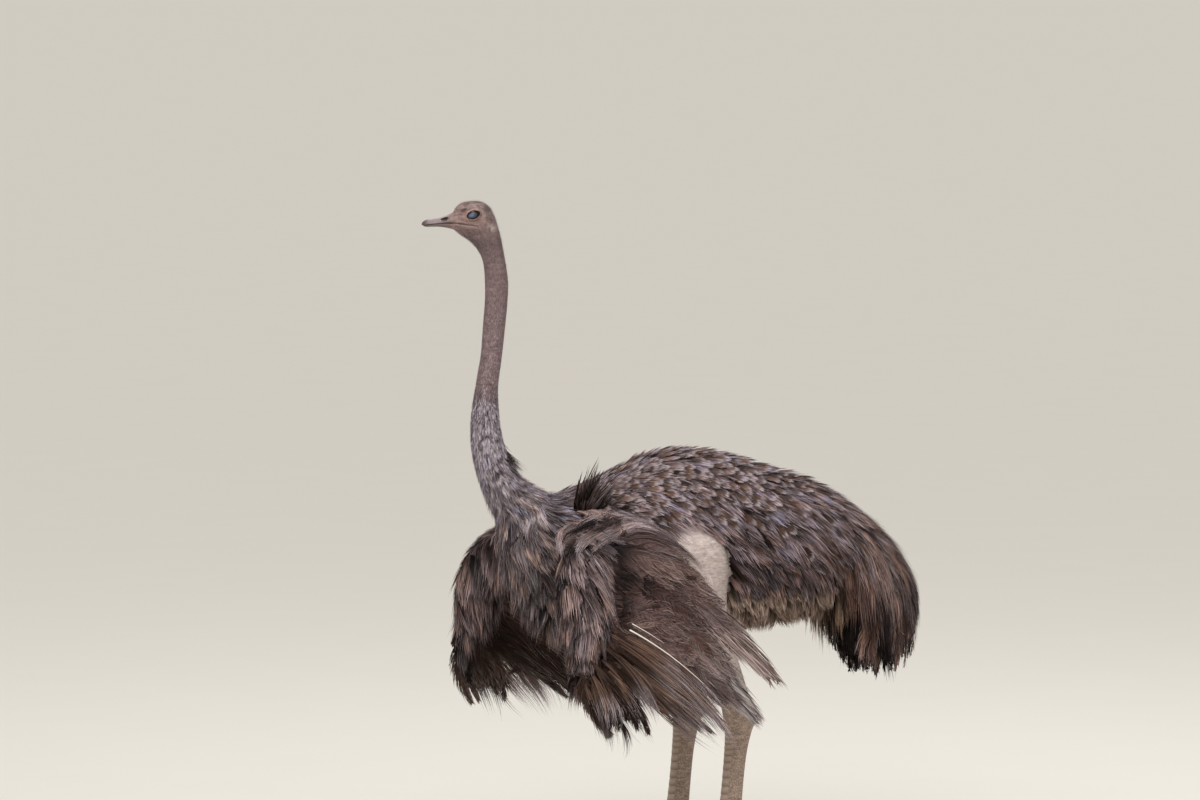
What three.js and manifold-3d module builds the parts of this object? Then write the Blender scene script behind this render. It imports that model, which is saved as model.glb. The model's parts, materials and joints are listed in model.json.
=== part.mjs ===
// An adult hen ostrich, life size, standing on both feet with her head high, her tail hanging and her
// wings let down at her sides. Millimetres, +Z up. She faces -X, and her left side is towards -Y.
import * as THREE from "three";
import { mergeVertices } from "three/addons/utils/BufferGeometryUtils.js";
import Module from "manifold-3d";

const wasm = await Module();
wasm.setup();

const GAP = 0.4; // left between pieces that touch
const ORIGIN = new THREE.Vector3(-117, 0, 0); // the middle of the floor that she stands over
const LEFT = -1;
const RIGHT = 1;

// ---- Colours and finishes ----

const finish = (color, roughness) => new THREE.MeshStandardMaterial({ color, roughness, metalness: 0 });
const DOWN = finish(0x9b8a80, 0.9);
const NECK_PLUMAGE = finish(0x8c8480, 0.95);
const PLUMAGE = finish(0x6f625a, 0.95);
const TAIL_PLUMAGE = finish(0x4a3f39, 0.95);
const WING_PLUMAGE = finish(0x75685f, 0.95);
const BARE_SKIN = finish(0xc2ab9a, 0.75);
const SCALED_SKIN = finish(0x9a8679, 0.65);
const HORN = finish(0x8b6d62, 0.5);
const CLAW_HORN = finish(0x3b332e, 0.45);
const EYE = finish(0x6f7f8c, 0.15);

// ---- Curves, rings and solids ----

const vec = (x, y, z) => new THREE.Vector3(x, y, z);
const lerp = THREE.MathUtils.lerp;

// The row at t, from 0 to 1, of a smooth curve through rows of numbers: a uniform Catmull-Rom spline.
function along(rows, t) {
  const last = rows.length - 1;
  const place = Math.min(Math.max(t, 0), 1) * last;
  const k = Math.min(Math.floor(place), last - 1);
  const s = place - k;
  const b = rows[k];
  const c = rows[k + 1];
  const a = rows[k - 1] ?? b.map((v, i) => 2 * v - c[i]);
  const d = rows[k + 2] ?? c.map((v, i) => 2 * v - b[i]);
  return b.map((v, i) => {
    const slope = c[i] - a[i];
    const bend = 2 * a[i] - 5 * v + 4 * c[i] - d[i];
    const twist = 3 * v - a[i] - 3 * c[i] + d[i];
    return v + (s * (slope + s * (bend + s * twist))) / 2;
  });
}

// A closed ring round a middle point: an ellipse, narrower towards its upper side by the share slim.
function ring(middle, up, side, slim, sides) {
  return Array.from({ length: sides }, (_, i) => {
    const a = (2 * Math.PI * i) / sides;
    const across = Math.sin(a) * (1 - slim * Math.cos(a));
    return middle.clone().addScaledVector(up, Math.cos(a)).addScaledVector(side, across);
  });
}

// Evenly spaced places from one to another, the first and the last moved inwards by a little.
function spaced(from, to, steps, short) {
  const places = Array.from({ length: steps + 1 }, (_, i) => lerp(from, to, i / steps));
  places[0] += short;
  places[steps] -= short;
  return places;
}

// The solid inside rings of equally many points, closed by a fan at each end.
function solidThrough(rings) {
  const sides = rings[0].length;
  const points = rings.flat();
  const faces = [];
  for (let r = 0; r + 1 < rings.length; r++)
    for (let i = 0; i < sides; i++) {
      const j = (i + 1) % sides;
      const [a, b, c, d] = [r * sides + i, r * sides + j, (r + 1) * sides + j, (r + 1) * sides + i];
      faces.push([a, b, c], [a, c, d]);
    }
  const ends = [rings[0], rings.at(-1)];
  ends.forEach((end, e) => {
    const middle = end.reduce((sum, p) => sum.add(p), vec(0, 0, 0)).divideScalar(sides);
    const first = e ? (rings.length - 1) * sides : 0;
    points.push(middle);
    for (let i = 0; i < sides; i++) {
      const edge = [first + i, first + ((i + 1) % sides)];
      faces.push([points.length - 1, edge[e ? 0 : 1], edge[e ? 1 : 0]]);
    }
  });
  return solidOf(points, faces);
}

// A manifold solid from points and triangles, turned to face outwards.
function solidOf(points, faces) {
  const volume = faces.reduce((sum, [a, b, c]) => {
    const cross = points[b].clone().cross(points[c]);
    return sum + points[a].dot(cross);
  }, 0);
  const outwards = volume < 0 ? faces.map(([a, b, c]) => [a, c, b]) : faces;
  const geometry = new THREE.BufferGeometry().setFromPoints(points).setIndex(outwards.flat());
  const merged = mergeVertices(geometry, 1e-3);
  return new wasm.Manifold(
    new wasm.Mesh({
      numProp: 3,
      vertProperties: new Float32Array(merged.attributes.position.array),
      triVerts: new Uint32Array(merged.index.array),
    }),
  );
}

// The largest body of a solid, without the slivers that a cut leaves.
function largest(solid) {
  return solid.decompose().reduce((best, body) => (body.volume() > best.volume() ? body : best));
}

const bird = new THREE.Group();

// Adds one named mesh for a solid.
function add(name, solid, material) {
  const found = solid.getMesh();
  const points = [];
  for (let i = 0; i < found.numVert; i++)
    points.push(...found.vertProperties.subarray(i * found.numProp, i * found.numProp + 3));
  const geometry = new THREE.BufferGeometry();
  geometry.setAttribute("position", new THREE.Float32BufferAttribute(points, 3));
  geometry.setIndex([...found.triVerts]);
  const mesh = new THREE.Mesh(geometry, material);
  mesh.name = name;
  bird.add(mesh);
}

// ---- Head, neck and trunk: one smooth form through ribs, parted by thin cuts ----

// A rib is the back's point and the belly's point on the middle plane, and half the width there.
// The head's ribs fan round the throat, from the foot of the bill to the top of the neck.
const EYE_LEVEL = 1823;
const EYE_X = -721;
const HEAD_RIBS = [
  [57, 5, 59, -41, 25],
  [44, 24, 47, -48, 32],
  [25, 33, 33, -57, 37],
  [1, 36.5, 18, -67, 40],
  [-25, 33, 6, -77, 39.5],
  [-44, 19, -4, -88, 37],
  [-57, -5, -12, -100, 35],
  [-67, -36, -19, -114, 33],
  [-78, -80, -25, -134, 32],
].map(([backX, backZ, throatX, throatZ, half]) => [
  EYE_X - backX,
  EYE_LEVEL + backZ,
  EYE_X - throatX,
  EYE_LEVEL + throatZ,
  half,
]);

// The neck's middle line and radius, from the head down to the shoulders.
const NECK_LINE = [
  [-660, 1650, 32.6],
  [-660, 1590, 32.4],
  [-667, 1511, 32],
  [-675, 1435, 31],
  [-686, 1367, 33.5],
  [-692, 1298, 39.5],
  [-691, 1231, 45.5],
  [-680, 1170, 51],
  [-656, 1108, 57],
  [-619, 1056, 65],
  [-567, 1014, 77],
];
const NECK_FLATNESS = 0.97; // its width as a share of its depth

// The middle line as ribs that stand square to it.
function ribsOf(line) {
  return line.map(([x, z, radius], i) => {
    const before = line[Math.max(i - 1, 0)];
    const after = line[Math.min(i + 1, line.length - 1)];
    const way = new THREE.Vector2(after[0] - before[0], after[1] - before[1]).normalize();
    const back = [x - way.y * radius, z + way.x * radius];
    const throat = [x + way.y * radius, z - way.x * radius];
    return [...back, ...throat, radius * NECK_FLATNESS];
  });
}

// The feathered trunk, from the crop to the root of the tail.
const TRUNK_RIBS = [
  [-492, 1060, -648, 890, 106],
  [-425, 1080, -597, 795, 150],
  [-358, 1098, -505, 718, 184],
  [-280, 1136, -385, 682, 206],
  [-175, 1173, -245, 668, 220],
  [-60, 1173, -95, 666, 226],
  [60, 1147, 45, 676, 220],
  [160, 1115, 150, 686, 204],
  [250, 1092, 235, 696, 178],
  [330, 1056, 308, 712, 146],
  [394, 1016, 346, 742, 120],
];
const RIBS = [...HEAD_RIBS, ...ribsOf(NECK_LINE), ...TRUNK_RIBS];
const LAST_RIB = RIBS.length - 1;
const FIRST_NECK = HEAD_RIBS.length;
const FIRST_TRUNK = FIRST_NECK + NECK_LINE.length;
const TRUNK_SLIM = 0.1; // how much narrower the back is than the belly

// The head looks to her right: everything above the throat is turned about the neck's line.
const HEAD_TURN = THREE.MathUtils.degToRad(22);
const TURN_X = -660;
const TURN_FROM = 1450;
const TURN_TO = 1700;

function turned(point) {
  const turn = -HEAD_TURN * THREE.MathUtils.smoothstep(point.z, TURN_FROM, TURN_TO);
  const axis = vec(TURN_X, 0, 0);
  return point.clone().sub(axis).applyAxisAngle(vec(0, 0, 1), turn).add(axis);
}

// One ring of the form at place t among the ribs, grown by a margin.
function bodyRing(t, sides, margin = 0) {
  const [topX, topZ, lowX, lowZ, half] = along(RIBS, t / (RIBS.length - 1));
  const middle = vec((topX + lowX) / 2, 0, (topZ + lowZ) / 2);
  const up = vec(topX, 0, topZ).sub(middle);
  up.setLength(up.length() + margin);
  const slim = TRUNK_SLIM * THREE.MathUtils.smoothstep(t, FIRST_TRUNK - 3, FIRST_TRUNK + 2);
  return ring(middle, up, vec(0, half + margin, 0), slim, sides).map(turned);
}

// A length of the form between two places among the ribs, short of each by half a gap.
function bodyLength([from, to], { steps, sides }, margin = 0) {
  const spacing = bodyRing(to, 4)[0].distanceTo(bodyRing(to - 0.1, 4)[0]) * 10;
  const short = GAP / 2 / spacing;
  return solidThrough(spaced(from, to, steps, short).map((t) => bodyRing(t, sides, margin)));
}

const HEAD_CUT = { steps: 12, sides: 16 };
const NECK_CUT = { steps: 5, sides: 14 };
const TRUNK_CUT = { steps: 6, sides: 20 };
const NECK_PARTS = {
  neck_upper: [FIRST_NECK, FIRST_NECK + 3],
  neck_middle: [FIRST_NECK + 3, FIRST_NECK + 6],
  neck_lower: [FIRST_NECK + 6, FIRST_NECK + 9],
};
const TRUNK_PARTS = {
  breast: [FIRST_NECK + 9, FIRST_TRUNK + 2.6],
  body: [FIRST_TRUNK + 2.6, FIRST_TRUNK + 7],
  rump: [FIRST_TRUNK + 7, LAST_RIB],
};

const trunkRoom = Object.values(TRUNK_PARTS)
  .map((part) => bodyLength(part, TRUNK_CUT, GAP))
  .reduce((whole, length) => whole.add(length));

// ---- Head: flesh, eyes and bill ----

const EYE_RADIUS = 22.6;
const EYE_OUT = 23.6; // from the middle plane to the ball's centre

function eyeBall(side, radius) {
  const ball = new THREE.SphereGeometry(radius, 12, 8);
  ball.deleteAttribute("normal");
  ball.deleteAttribute("uv");
  const whole = mergeVertices(ball, 1e-3);
  const centre = vec(EYE_X, side * EYE_OUT, EYE_LEVEL);
  const points = [];
  for (let i = 0; i < whole.attributes.position.count; i++)
    points.push(turned(vec().fromBufferAttribute(whole.attributes.position, i).add(centre)));
  const index = [...whole.index.array];
  const faces = [];
  for (let i = 0; i < index.length; i += 3) {
    const face = index.slice(i, i + 3);
    if (new Set(face).size === 3) faces.push(face);
  }
  return solidOf(points, faces);
}

const headFlesh = [LEFT, RIGHT].reduce(
  (solid, side) => solid.subtract(eyeBall(side, EYE_RADIUS + GAP)),
  bodyLength([0, FIRST_NECK], HEAD_CUT),
);
add("head", headFlesh, DOWN);
add("left_eye", eyeBall(LEFT, EYE_RADIUS), EYE);
add("right_eye", eyeBall(RIGHT, EYE_RADIUS), EYE);

// Each half of the bill is rings from its foot to its tip: distance in front of the eye, the heights of
// its upper and its lower edge over the eye's level, and half its width.
const UPPER_BILL = [
  [57, 5, -24, 25],
  [76, -4, -24, 23],
  [94, -10, -25.5, 20.5],
  [112, -12.5, -27, 18],
  [126, -14.5, -28, 15],
  [135, -18, -28.5, 10],
  [139.5, -23, -28, 3.5],
];
const LOWER_BILL = [
  [57, -25, -41, 24.5],
  [76, -25, -36.5, 22],
  [94, -26, -34, 19],
  [110, -27.5, -33.5, 16],
  [122, -28.8, -34, 12],
  [131, -29.5, -33.5, 5],
];

const BILL_STEPS = 7;
const BILL_SIDES = 12;
const BILL_SLIM = 0.3; // how much a half narrows away from the mouth
const LIPS = 0.4; // from the mouth's line to each half

function bill(rows, slim) {
  const rings = Array.from({ length: BILL_STEPS + 1 }, (_, i) => {
    const [out, top, low, half] = along(rows, i / BILL_STEPS);
    const shift = LIPS * Math.sign(slim);
    const middle = vec(EYE_X - out, 0, EYE_LEVEL + (top + low + shift) / 2);
    const up = vec(0, 0, (top - low - LIPS) / 2);
    return ring(middle, up, vec(0, half, 0), slim, BILL_SIDES).map(turned);
  });
  return solidThrough(rings);
}
const headRoom = bodyLength([0, FIRST_NECK], HEAD_CUT, GAP);
add("upper_bill", largest(bill(UPPER_BILL, BILL_SLIM).subtract(headRoom)), HORN);
add("lower_bill", largest(bill(LOWER_BILL, -BILL_SLIM).subtract(headRoom)), HORN);

// ---- Neck ----

for (const [name, part] of Object.entries(NECK_PARTS))
  add(name, bodyLength(part, NECK_CUT), name === "neck_lower" ? NECK_PLUMAGE : DOWN);

// ---- Legs ----

// A leg is level rings down one line: x, height, distance from the middle plane, half depth and half width.
// The left leg bears a little behind the right one.
const LEG_LINE = [
  [-178, 996, 118, 52, 76],
  [-165, 932, 136, 108, 102],
  [-175, 857, 141, 136, 108],
  [-178, 785, 140, 134, 101],
  [-150, 712, 135, 113, 81],
  [-104, 643, 130, 88, 60],
  [-55, 568, 126, 61, 45],
  [-15, 500, 122, 44, 37],
  [5, 462, 121, 46, 42],
  [9, 430, 120, 44, 41],
  [5, 395, 120, 34, 32],
  [-4, 330, 120, 28, 25],
  [-14, 230, 120, 27, 24],
  [-24, 130, 121, 30, 28],
  [-30, 84, 122, 34, 33],
];
const LEG_SIDES = 14;
const LEG_SPACING = 60; // about how far apart the rows lie
const LEG_CUTS = { thigh: [0, 7], hock: [7, 10], tarsus: [10, 14] };
const LEG_STEP = { [LEFT]: 0, [RIGHT]: -55 };

function legRing(i, side, margin) {
  const [x, z, out, depth, width] = along(LEG_LINE, i / (LEG_LINE.length - 1));
  const middle = vec(x + LEG_STEP[side], side * out, z);
  return ring(middle, vec(depth + margin, 0, 0), vec(0, width + margin, 0), 0, LEG_SIDES);
}

// The leg between two places on its line, short of each by half a gap.
function legLength([from, to], side, margin = 0) {
  const short = (GAP / 2 - margin) / LEG_SPACING;
  const places = spaced(from, to, Math.ceil((to - from) * 1.5), short);
  return solidThrough(places.map((place) => legRing(place, side, margin)));
}

// A toe is rings along the floor: distance from the tarsus's foot, height of its back and half width.
// Its underside is cut flat, so that it stands on the floor.
const THIRD_TOE = {
  turn: 4,
  out: 0,
  rows: [
    [-37, 40, 22],
    [-8, 98, 34],
    [22, 90, 35],
    [54, 55, 31],
    [88, 46, 30],
    [122, 40, 29],
    [150, 26, 20],
  ],
};
const FOURTH_TOE = {
  turn: 34,
  out: 14,
  rows: [
    [12, 46, 16],
    [42, 44, 20],
    [72, 36, 18],
    [100, 30, 18],
    [120, 16, 11],
  ],
};
const TOE_SIDES = 12;
const TOE_MIDDLE = 0.38; // how high its widest line is, as a share of its height
const TOE_SLIM = 0.18;

// The claw of the third toe: distance, height of its middle, half height and half width.
const CLAW = [
  [128, 23, 15, 17],
  [150, 21, 13, 15],
  [172, 15, 9, 11],
  [192, 7, 5, 4],
];
const CLAW_SIDES = 10;

// The room under the floor.
const FLOOR_ROOM = solidThrough(
  [-200, 0].map((z) => ring(vec(0, 0, z), vec(700, 0, 0), vec(0, 700, 0), 0, 8)),
);

// The ways forward and across of a toe turned outwards by some degrees.
function toeWays(side, turn) {
  const a = side * THREE.MathUtils.degToRad(turn);
  return { forward: vec(-Math.cos(a), Math.sin(a), 0), across: vec(Math.sin(a), Math.cos(a), 0) };
}

function toe(kind, foot, side, margin = 0) {
  const { forward, across } = toeWays(side, kind.turn);
  const steps = Math.round((kind.rows.length - 1) * 1.5);
  const rings = Array.from({ length: steps + 1 }, (_, i) => {
    const [out, height, half] = along(kind.rows, i / steps);
    const middle = foot.clone().addScaledVector(forward, out).add(vec(0, side * kind.out, 0));
    const up = vec(0, 0, height * (1 - TOE_MIDDLE) + margin);
    const width = across.clone().multiplyScalar(half + margin);
    return ring(middle.setZ(height * TOE_MIDDLE), up, width, TOE_SLIM, TOE_SIDES);
  });
  return solidThrough(rings).subtract(FLOOR_ROOM);
}

function claw(foot, side, margin = 0) {
  const { forward, across } = toeWays(side, THIRD_TOE.turn);
  const rings = CLAW.map(([out, z, depth, half]) => {
    const middle = foot.clone().addScaledVector(forward, out).setZ(z);
    const width = across.clone().multiplyScalar(half + margin);
    return ring(middle, vec(0, 0, depth + margin), width, 0, CLAW_SIDES);
  });
  return solidThrough(rings);
}

const [FOOT_X, , FOOT_OUT] = LEG_LINE.at(-1);
const thighRooms = [];
for (const side of [LEFT, RIGHT]) {
  const word = side === LEFT ? "left" : "right";
  const foot = vec(FOOT_X + LEG_STEP[side], side * FOOT_OUT, 0);
  thighRooms.push(legLength(LEG_CUTS.thigh, side, GAP));
  for (const [name, cuts] of Object.entries(LEG_CUTS))
    add(`${word}_${name}`, legLength(cuts, side), name === "thigh" ? BARE_SKIN : SCALED_SKIN);
  const tarsusRoom = legLength(LEG_CUTS.tarsus, side, GAP);
  const third = toe(THIRD_TOE, foot, side).subtract(tarsusRoom).subtract(claw(foot, side, GAP));
  const fourth = toe(FOURTH_TOE, foot, side).subtract(tarsusRoom).subtract(toe(THIRD_TOE, foot, side, GAP));
  add(`${word}_third_toe`, largest(third), SCALED_SKIN);
  add(`${word}_fourth_toe`, largest(fourth), SCALED_SKIN);
  add(`${word}_claw`, claw(foot, side), CLAW_HORN);
}

// ---- Wings ----

// A wing hangs from the shoulder, elbow, wrist and finger tip. Each plume leaves the arm at a place on
// this line, and its tip lies at the same place on the line of tips. Rows are x, distance out and height.
const ARM = [
  [-438, 130, 975],
  [-534, 330, 884],
  [-566, 420, 735],
  [-596, 450, 605],
];
const TIPS = [
  [-138, 300, 763],
  [2, 360, 629],
  [38, 400, 517],
  [-16, 430, 438],
  [-60, 450, 366],
  [-285, 470, 367],
  [-640, 486, 410],
];
const ARM_SIZE = [
  [62, 50],
  [82, 48],
  [78, 42],
  [40, 26],
];
const ARM_PARTS = { upper_arm: [0, 1 / 3], forearm: [1 / 3, 2 / 3], hand: [2 / 3, 1] };
const PLUME_ARCH = [0.18, 0.03]; // how far a plume bows up, as a share of its length, first and last
const PLUME_THICK = [64, 8]; // the layer of plumes at the arm and at the tips
const SCALLOPS = 15; // plume tips along the edge
const SCALLOP_DEPTH = 0.07;
const NOTCH = { at: 0.42, wide: 0.05, deep: 0.34 }; // the gap between the upper and the lower plumes
const PLUME_GROUPS = {
  inner_plumes: [0.04, 1 / 3],
  middle_plumes: [1 / 3, 2 / 3],
  outer_plumes: [2 / 3, 1],
};
const PLUME_CUT = 0.001; // half the cut between two groups, as a share of the arm
const PLUME_COLUMNS = 10;
const PLUME_ROWS = 5;
const ARM_STEPS = 4;
const ARM_SIDES = 12;

function armPoint(u, side) {
  const [x, out, z] = along(ARM, u);
  return vec(x, side * out, z);
}

// The arm between two places on its line, short of each by half a gap.
function armLength([from, to], side, margin = 0) {
  const rings = Array.from({ length: ARM_STEPS + 1 }, (_, i) => {
    const u = lerp(from, to, i / ARM_STEPS);
    const way = armPoint(u + 0.01, side).sub(armPoint(u - 0.01, side)).normalize();
    const across = way.clone().cross(vec(0, 0, 1)).normalize();
    const up = across.clone().cross(way).normalize();
    const [depth, width] = along(ARM_SIZE, u);
    const middle = armPoint(u, side);
    if (i === 0) middle.addScaledVector(way, GAP / 2 - margin);
    if (i === ARM_STEPS) middle.addScaledVector(way, margin - GAP / 2);
    up.multiplyScalar(width + margin);
    return ring(middle, up, across.multiplyScalar(depth + margin), 0, ARM_SIDES);
  });
  return solidThrough(rings);
}

// A point of the middle of the layer of plumes: u along the arm and v from the arm to the tips.
function plumePoint(u, v, side) {
  const root = armPoint(u, side);
  const [x, out, z] = along(TIPS, u);
  const tip = vec(x, side * out, z);
  const length = root.distanceTo(tip);
  const arch = lerp(PLUME_ARCH[0], PLUME_ARCH[1], u) * length * 4 * v * (1 - v);
  return root.lerp(tip, v).add(vec(0, side * 0.3, 1).multiplyScalar(arch));
}

// A point of the layer's upper or under face, where face is 1 or -1.
function plumeFacePoint(u, v, face, side) {
  const scallop = SCALLOP_DEPTH * Math.abs(Math.sin(Math.PI * SCALLOPS * u));
  const notch = NOTCH.deep * Math.exp(-(((u - NOTCH.at) / NOTCH.wide) ** 2));
  const down = v * (1 - scallop - notch);
  const alongU = plumePoint(u + 0.01, down, side).sub(plumePoint(u - 0.01, down, side));
  const alongV = plumePoint(u, down + 0.01, side).sub(plumePoint(u, down - 0.01, side));
  const out = alongU.cross(alongV).normalize();
  const thick = lerp(PLUME_THICK[0], PLUME_THICK[1], v);
  return plumePoint(u, down, side).addScaledVector(out, (face * thick) / 2);
}

// The layer of plumes between two places on the arm.
function plumes(from, to, side) {
  const columns = PLUME_COLUMNS;
  const rows = PLUME_ROWS;
  const points = [];
  for (const face of [-1, 1])
    for (let i = 0; i <= columns; i++)
      for (let j = 0; j <= rows; j++)
        points.push(plumeFacePoint(lerp(from, to, i / columns), j / rows, face, side));
  const id = (face, i, j) => (face * (columns + 1) + i) * (rows + 1) + j;
  const faces = [];
  const quad = (a, b, c, d) => faces.push([a, b, c], [a, c, d]);
  for (let i = 0; i < columns; i++)
    for (let j = 0; j < rows; j++) {
      quad(id(0, i, j), id(0, i + 1, j), id(0, i + 1, j + 1), id(0, i, j + 1));
      quad(id(1, i, j), id(1, i, j + 1), id(1, i + 1, j + 1), id(1, i + 1, j));
    }
  for (let i = 0; i < columns; i++) {
    quad(id(0, i, 0), id(1, i, 0), id(1, i + 1, 0), id(0, i + 1, 0));
    quad(id(0, i + 1, rows), id(1, i + 1, rows), id(1, i, rows), id(0, i, rows));
  }
  for (let j = 0; j < rows; j++) {
    quad(id(0, 0, j + 1), id(1, 0, j + 1), id(1, 0, j), id(0, 0, j));
    quad(id(0, columns, j + 1), id(0, columns, j), id(1, columns, j), id(1, columns, j + 1));
  }
  return solidOf(points, faces);
}

const armRooms = [];
for (const side of [LEFT, RIGHT]) {
  const word = side === LEFT ? "left" : "right";
  const armRoom = Object.values(ARM_PARTS)
    .map((part) => armLength(part, side, GAP))
    .reduce((whole, length) => whole.add(length));
  armRooms.push(armRoom);
  for (const [name, part] of Object.entries(ARM_PARTS))
    add(`${word}_${name}`, armLength(part, side), WING_PLUMAGE);
  for (const [name, [from, to]] of Object.entries(PLUME_GROUPS)) {
    const layer = plumes(from + PLUME_CUT, to - PLUME_CUT, side);
    add(`${word}_${name}`, largest(layer.subtract(armRoom).subtract(trunkRoom)), WING_PLUMAGE);
  }
}

// ---- Trunk, hollowed for the limbs ----

for (const [name, part] of Object.entries(TRUNK_PARTS)) {
  const whole = bodyLength(part, TRUNK_CUT);
  const hollowed = [...thighRooms, ...armRooms].reduce((solid, room) => solid.subtract(room), whole);
  add(name, largest(hollowed), PLUMAGE);
}

// ---- Tail ----

// The tail hangs behind the rump: its rear line and its front line on the middle plane, and half its width.
const TAIL_RIBS = [
  [394, 1016, 346, 742, 120],
  [462, 958, 346, 730, 130],
  [524, 893, 343, 716, 134],
  [572, 822, 336, 702, 134],
  [600, 752, 326, 690, 131],
];
const TAIL_START = 0.003; // leaves the cut behind the rump
const TAIL_SIDES = 20;
const TAIL_STEPS = 5;

function tailRing([rearX, rearZ, frontX, frontZ, half]) {
  const middle = vec((rearX + frontX) / 2, 0, (rearZ + frontZ) / 2);
  return ring(middle, vec(rearX, 0, rearZ).sub(middle), vec(0, half, 0), 0, TAIL_SIDES);
}

const tailRings = Array.from({ length: TAIL_STEPS + 1 }, (_, i) =>
  tailRing(along(TAIL_RIBS, lerp(TAIL_START, 1, i / TAIL_STEPS))),
);
add("tail_base", solidThrough(tailRings), TAIL_PLUMAGE);

// Its long plumes hang in a ragged skirt, longest in the middle.
const SKIRT_WAIST = [613, 690, 320, 662, 126];
const SKIRT_HEM = [606, 600, 322, 600, 100];
const SKIRT_LOW = { x: 447, z: 495, frontSlope: 1.3, rearSlope: 0.8, ragged: 45 };
const SKIRT_HOLLOW = vec(462, 0, 640);
const skirtTop = tailRings.at(-1).map((point) => point.clone().setZ(point.z - GAP));
const skirtHem = tailRing(SKIRT_HEM).map((point, i) => {
  const back = point.x - SKIRT_LOW.x;
  const rise = back > 0 ? back * SKIRT_LOW.rearSlope : -back * SKIRT_LOW.frontSlope;
  return point.setZ(SKIRT_LOW.z + rise + (i % 2) * SKIRT_LOW.ragged);
});
const skirtInside = skirtHem.map((point) => point.clone().lerp(SKIRT_HOLLOW, 0.4));
const skirt = solidThrough([skirtTop, tailRing(SKIRT_WAIST), skirtHem, skirtInside]);
add("tail_plumes", skirt, TAIL_PLUMAGE);

bird.position.copy(ORIGIN).negate();
export default bird;
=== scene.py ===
"""An adult hen ostrich as a life-size museum model: one skin, with every feather laid on it as mesh."""

import json

import bpy
import numpy as np
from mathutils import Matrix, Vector

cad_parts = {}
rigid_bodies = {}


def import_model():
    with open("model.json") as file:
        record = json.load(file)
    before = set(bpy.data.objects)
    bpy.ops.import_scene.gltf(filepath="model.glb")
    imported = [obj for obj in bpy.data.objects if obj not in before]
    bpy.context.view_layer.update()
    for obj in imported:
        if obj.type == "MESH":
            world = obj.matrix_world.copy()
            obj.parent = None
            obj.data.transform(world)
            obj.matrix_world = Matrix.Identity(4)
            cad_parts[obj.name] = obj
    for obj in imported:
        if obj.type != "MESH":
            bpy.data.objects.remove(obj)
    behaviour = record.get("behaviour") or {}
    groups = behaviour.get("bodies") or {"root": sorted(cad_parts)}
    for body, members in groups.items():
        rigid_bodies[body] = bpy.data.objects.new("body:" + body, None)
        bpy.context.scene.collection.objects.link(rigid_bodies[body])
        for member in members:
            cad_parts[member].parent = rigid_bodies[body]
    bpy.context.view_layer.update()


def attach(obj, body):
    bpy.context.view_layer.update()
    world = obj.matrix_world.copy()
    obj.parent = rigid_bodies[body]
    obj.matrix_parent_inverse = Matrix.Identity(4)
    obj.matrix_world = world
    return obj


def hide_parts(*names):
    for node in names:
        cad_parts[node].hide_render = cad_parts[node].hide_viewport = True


for leftover in list(bpy.data.objects):
    bpy.data.objects.remove(leftover)
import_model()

# ---- Camera ----
# A long lens looks level from far off on her left side, somewhat ahead of her, so that the flank shows at
# full length, the near wing in front of it and the far wing's leading edge past the breast.
EYE_POINT = np.array([-8.410, -20.224, 2.835])
LOOKS_AT = np.array([-0.189, 0.1236, 1.300])
LENS_MM = 240
SENSOR_MM = 36

camera = bpy.data.objects.new("camera", bpy.data.cameras.new("camera"))
bpy.context.scene.collection.objects.link(camera)
camera.data.lens = LENS_MM
camera.data.sensor_width = SENSOR_MM
camera.data.clip_end = 1000
camera.location = EYE_POINT
camera.rotation_euler = Vector(LOOKS_AT - EYE_POINT).to_track_quat("-Z", "Y").to_euler()
bpy.context.scene.camera = camera

# ---- Skin ----
# One skin covers the flesh from the bill's foot to the toes, stretched over muscle and bone. It is bare on
# the upper neck, the thighs and the legs, and dark under the plumage, and its folds make the lids.

# The form of head, neck, trunk and tail is one surface through ribs, which carries the lie of the coat
# too. A rib is the back's point and the belly's point on the middle plane, each as x and height, and half
# the width there, in millimetres. On the head both points are given forward and up from the eye.
EYE_LEVEL = 1823
EYE_X = -721
HEAD_RIBS = [
    [57, 5, 59, -41, 25],
    [44, 24, 47, -48, 32],
    [25, 33, 33, -57, 37],
    [1, 36.5, 18, -67, 40],
    [-25, 33, 6, -77, 39.5],
    [-44, 19, -4, -88, 37],
    [-57, -5, -12, -100, 35],
    [-67, -36, -19, -114, 33],
    [-78, -80, -25, -134, 32],
]
NECK_LINE = [
    [-660, 1650, 32.6],
    [-660, 1590, 32.4],
    [-667, 1511, 32],
    [-675, 1435, 31],
    [-686, 1367, 33.5],
    [-692, 1298, 39.5],
    [-691, 1231, 45.5],
    [-680, 1170, 51],
    [-656, 1108, 57],
    [-619, 1056, 65],
    [-567, 1014, 77],
]
NECK_FLATNESS = 0.97
TRUNK_RIBS = [
    [-492, 1060, -648, 890, 106],
    [-425, 1080, -597, 795, 150],
    [-358, 1098, -505, 718, 184],
    [-280, 1136, -385, 682, 206],
    [-175, 1173, -245, 668, 220],
    [-60, 1173, -95, 666, 226],
    [60, 1147, 45, 676, 220],
    [160, 1115, 150, 686, 204],
    [250, 1092, 235, 696, 178],
    [330, 1056, 308, 712, 146],
    [394, 1016, 346, 742, 120],
    [462, 958, 346, 730, 130],
    [524, 893, 343, 716, 134],
    [572, 822, 336, 702, 134],
    [600, 752, 326, 690, 131],
]
TRUNK_SLIM = 0.1
NECK_TOP, CROP, TAIL_END = 9, 18, 34  # places along the ribs, by their number


def smooth(low, high, value):
    """0 below low, 1 above high, and 3s^2 - 2s^3 between them."""
    s = np.clip((value - low) / (high - low), 0, 1)
    return s * s * (3 - 2 * s)


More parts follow.
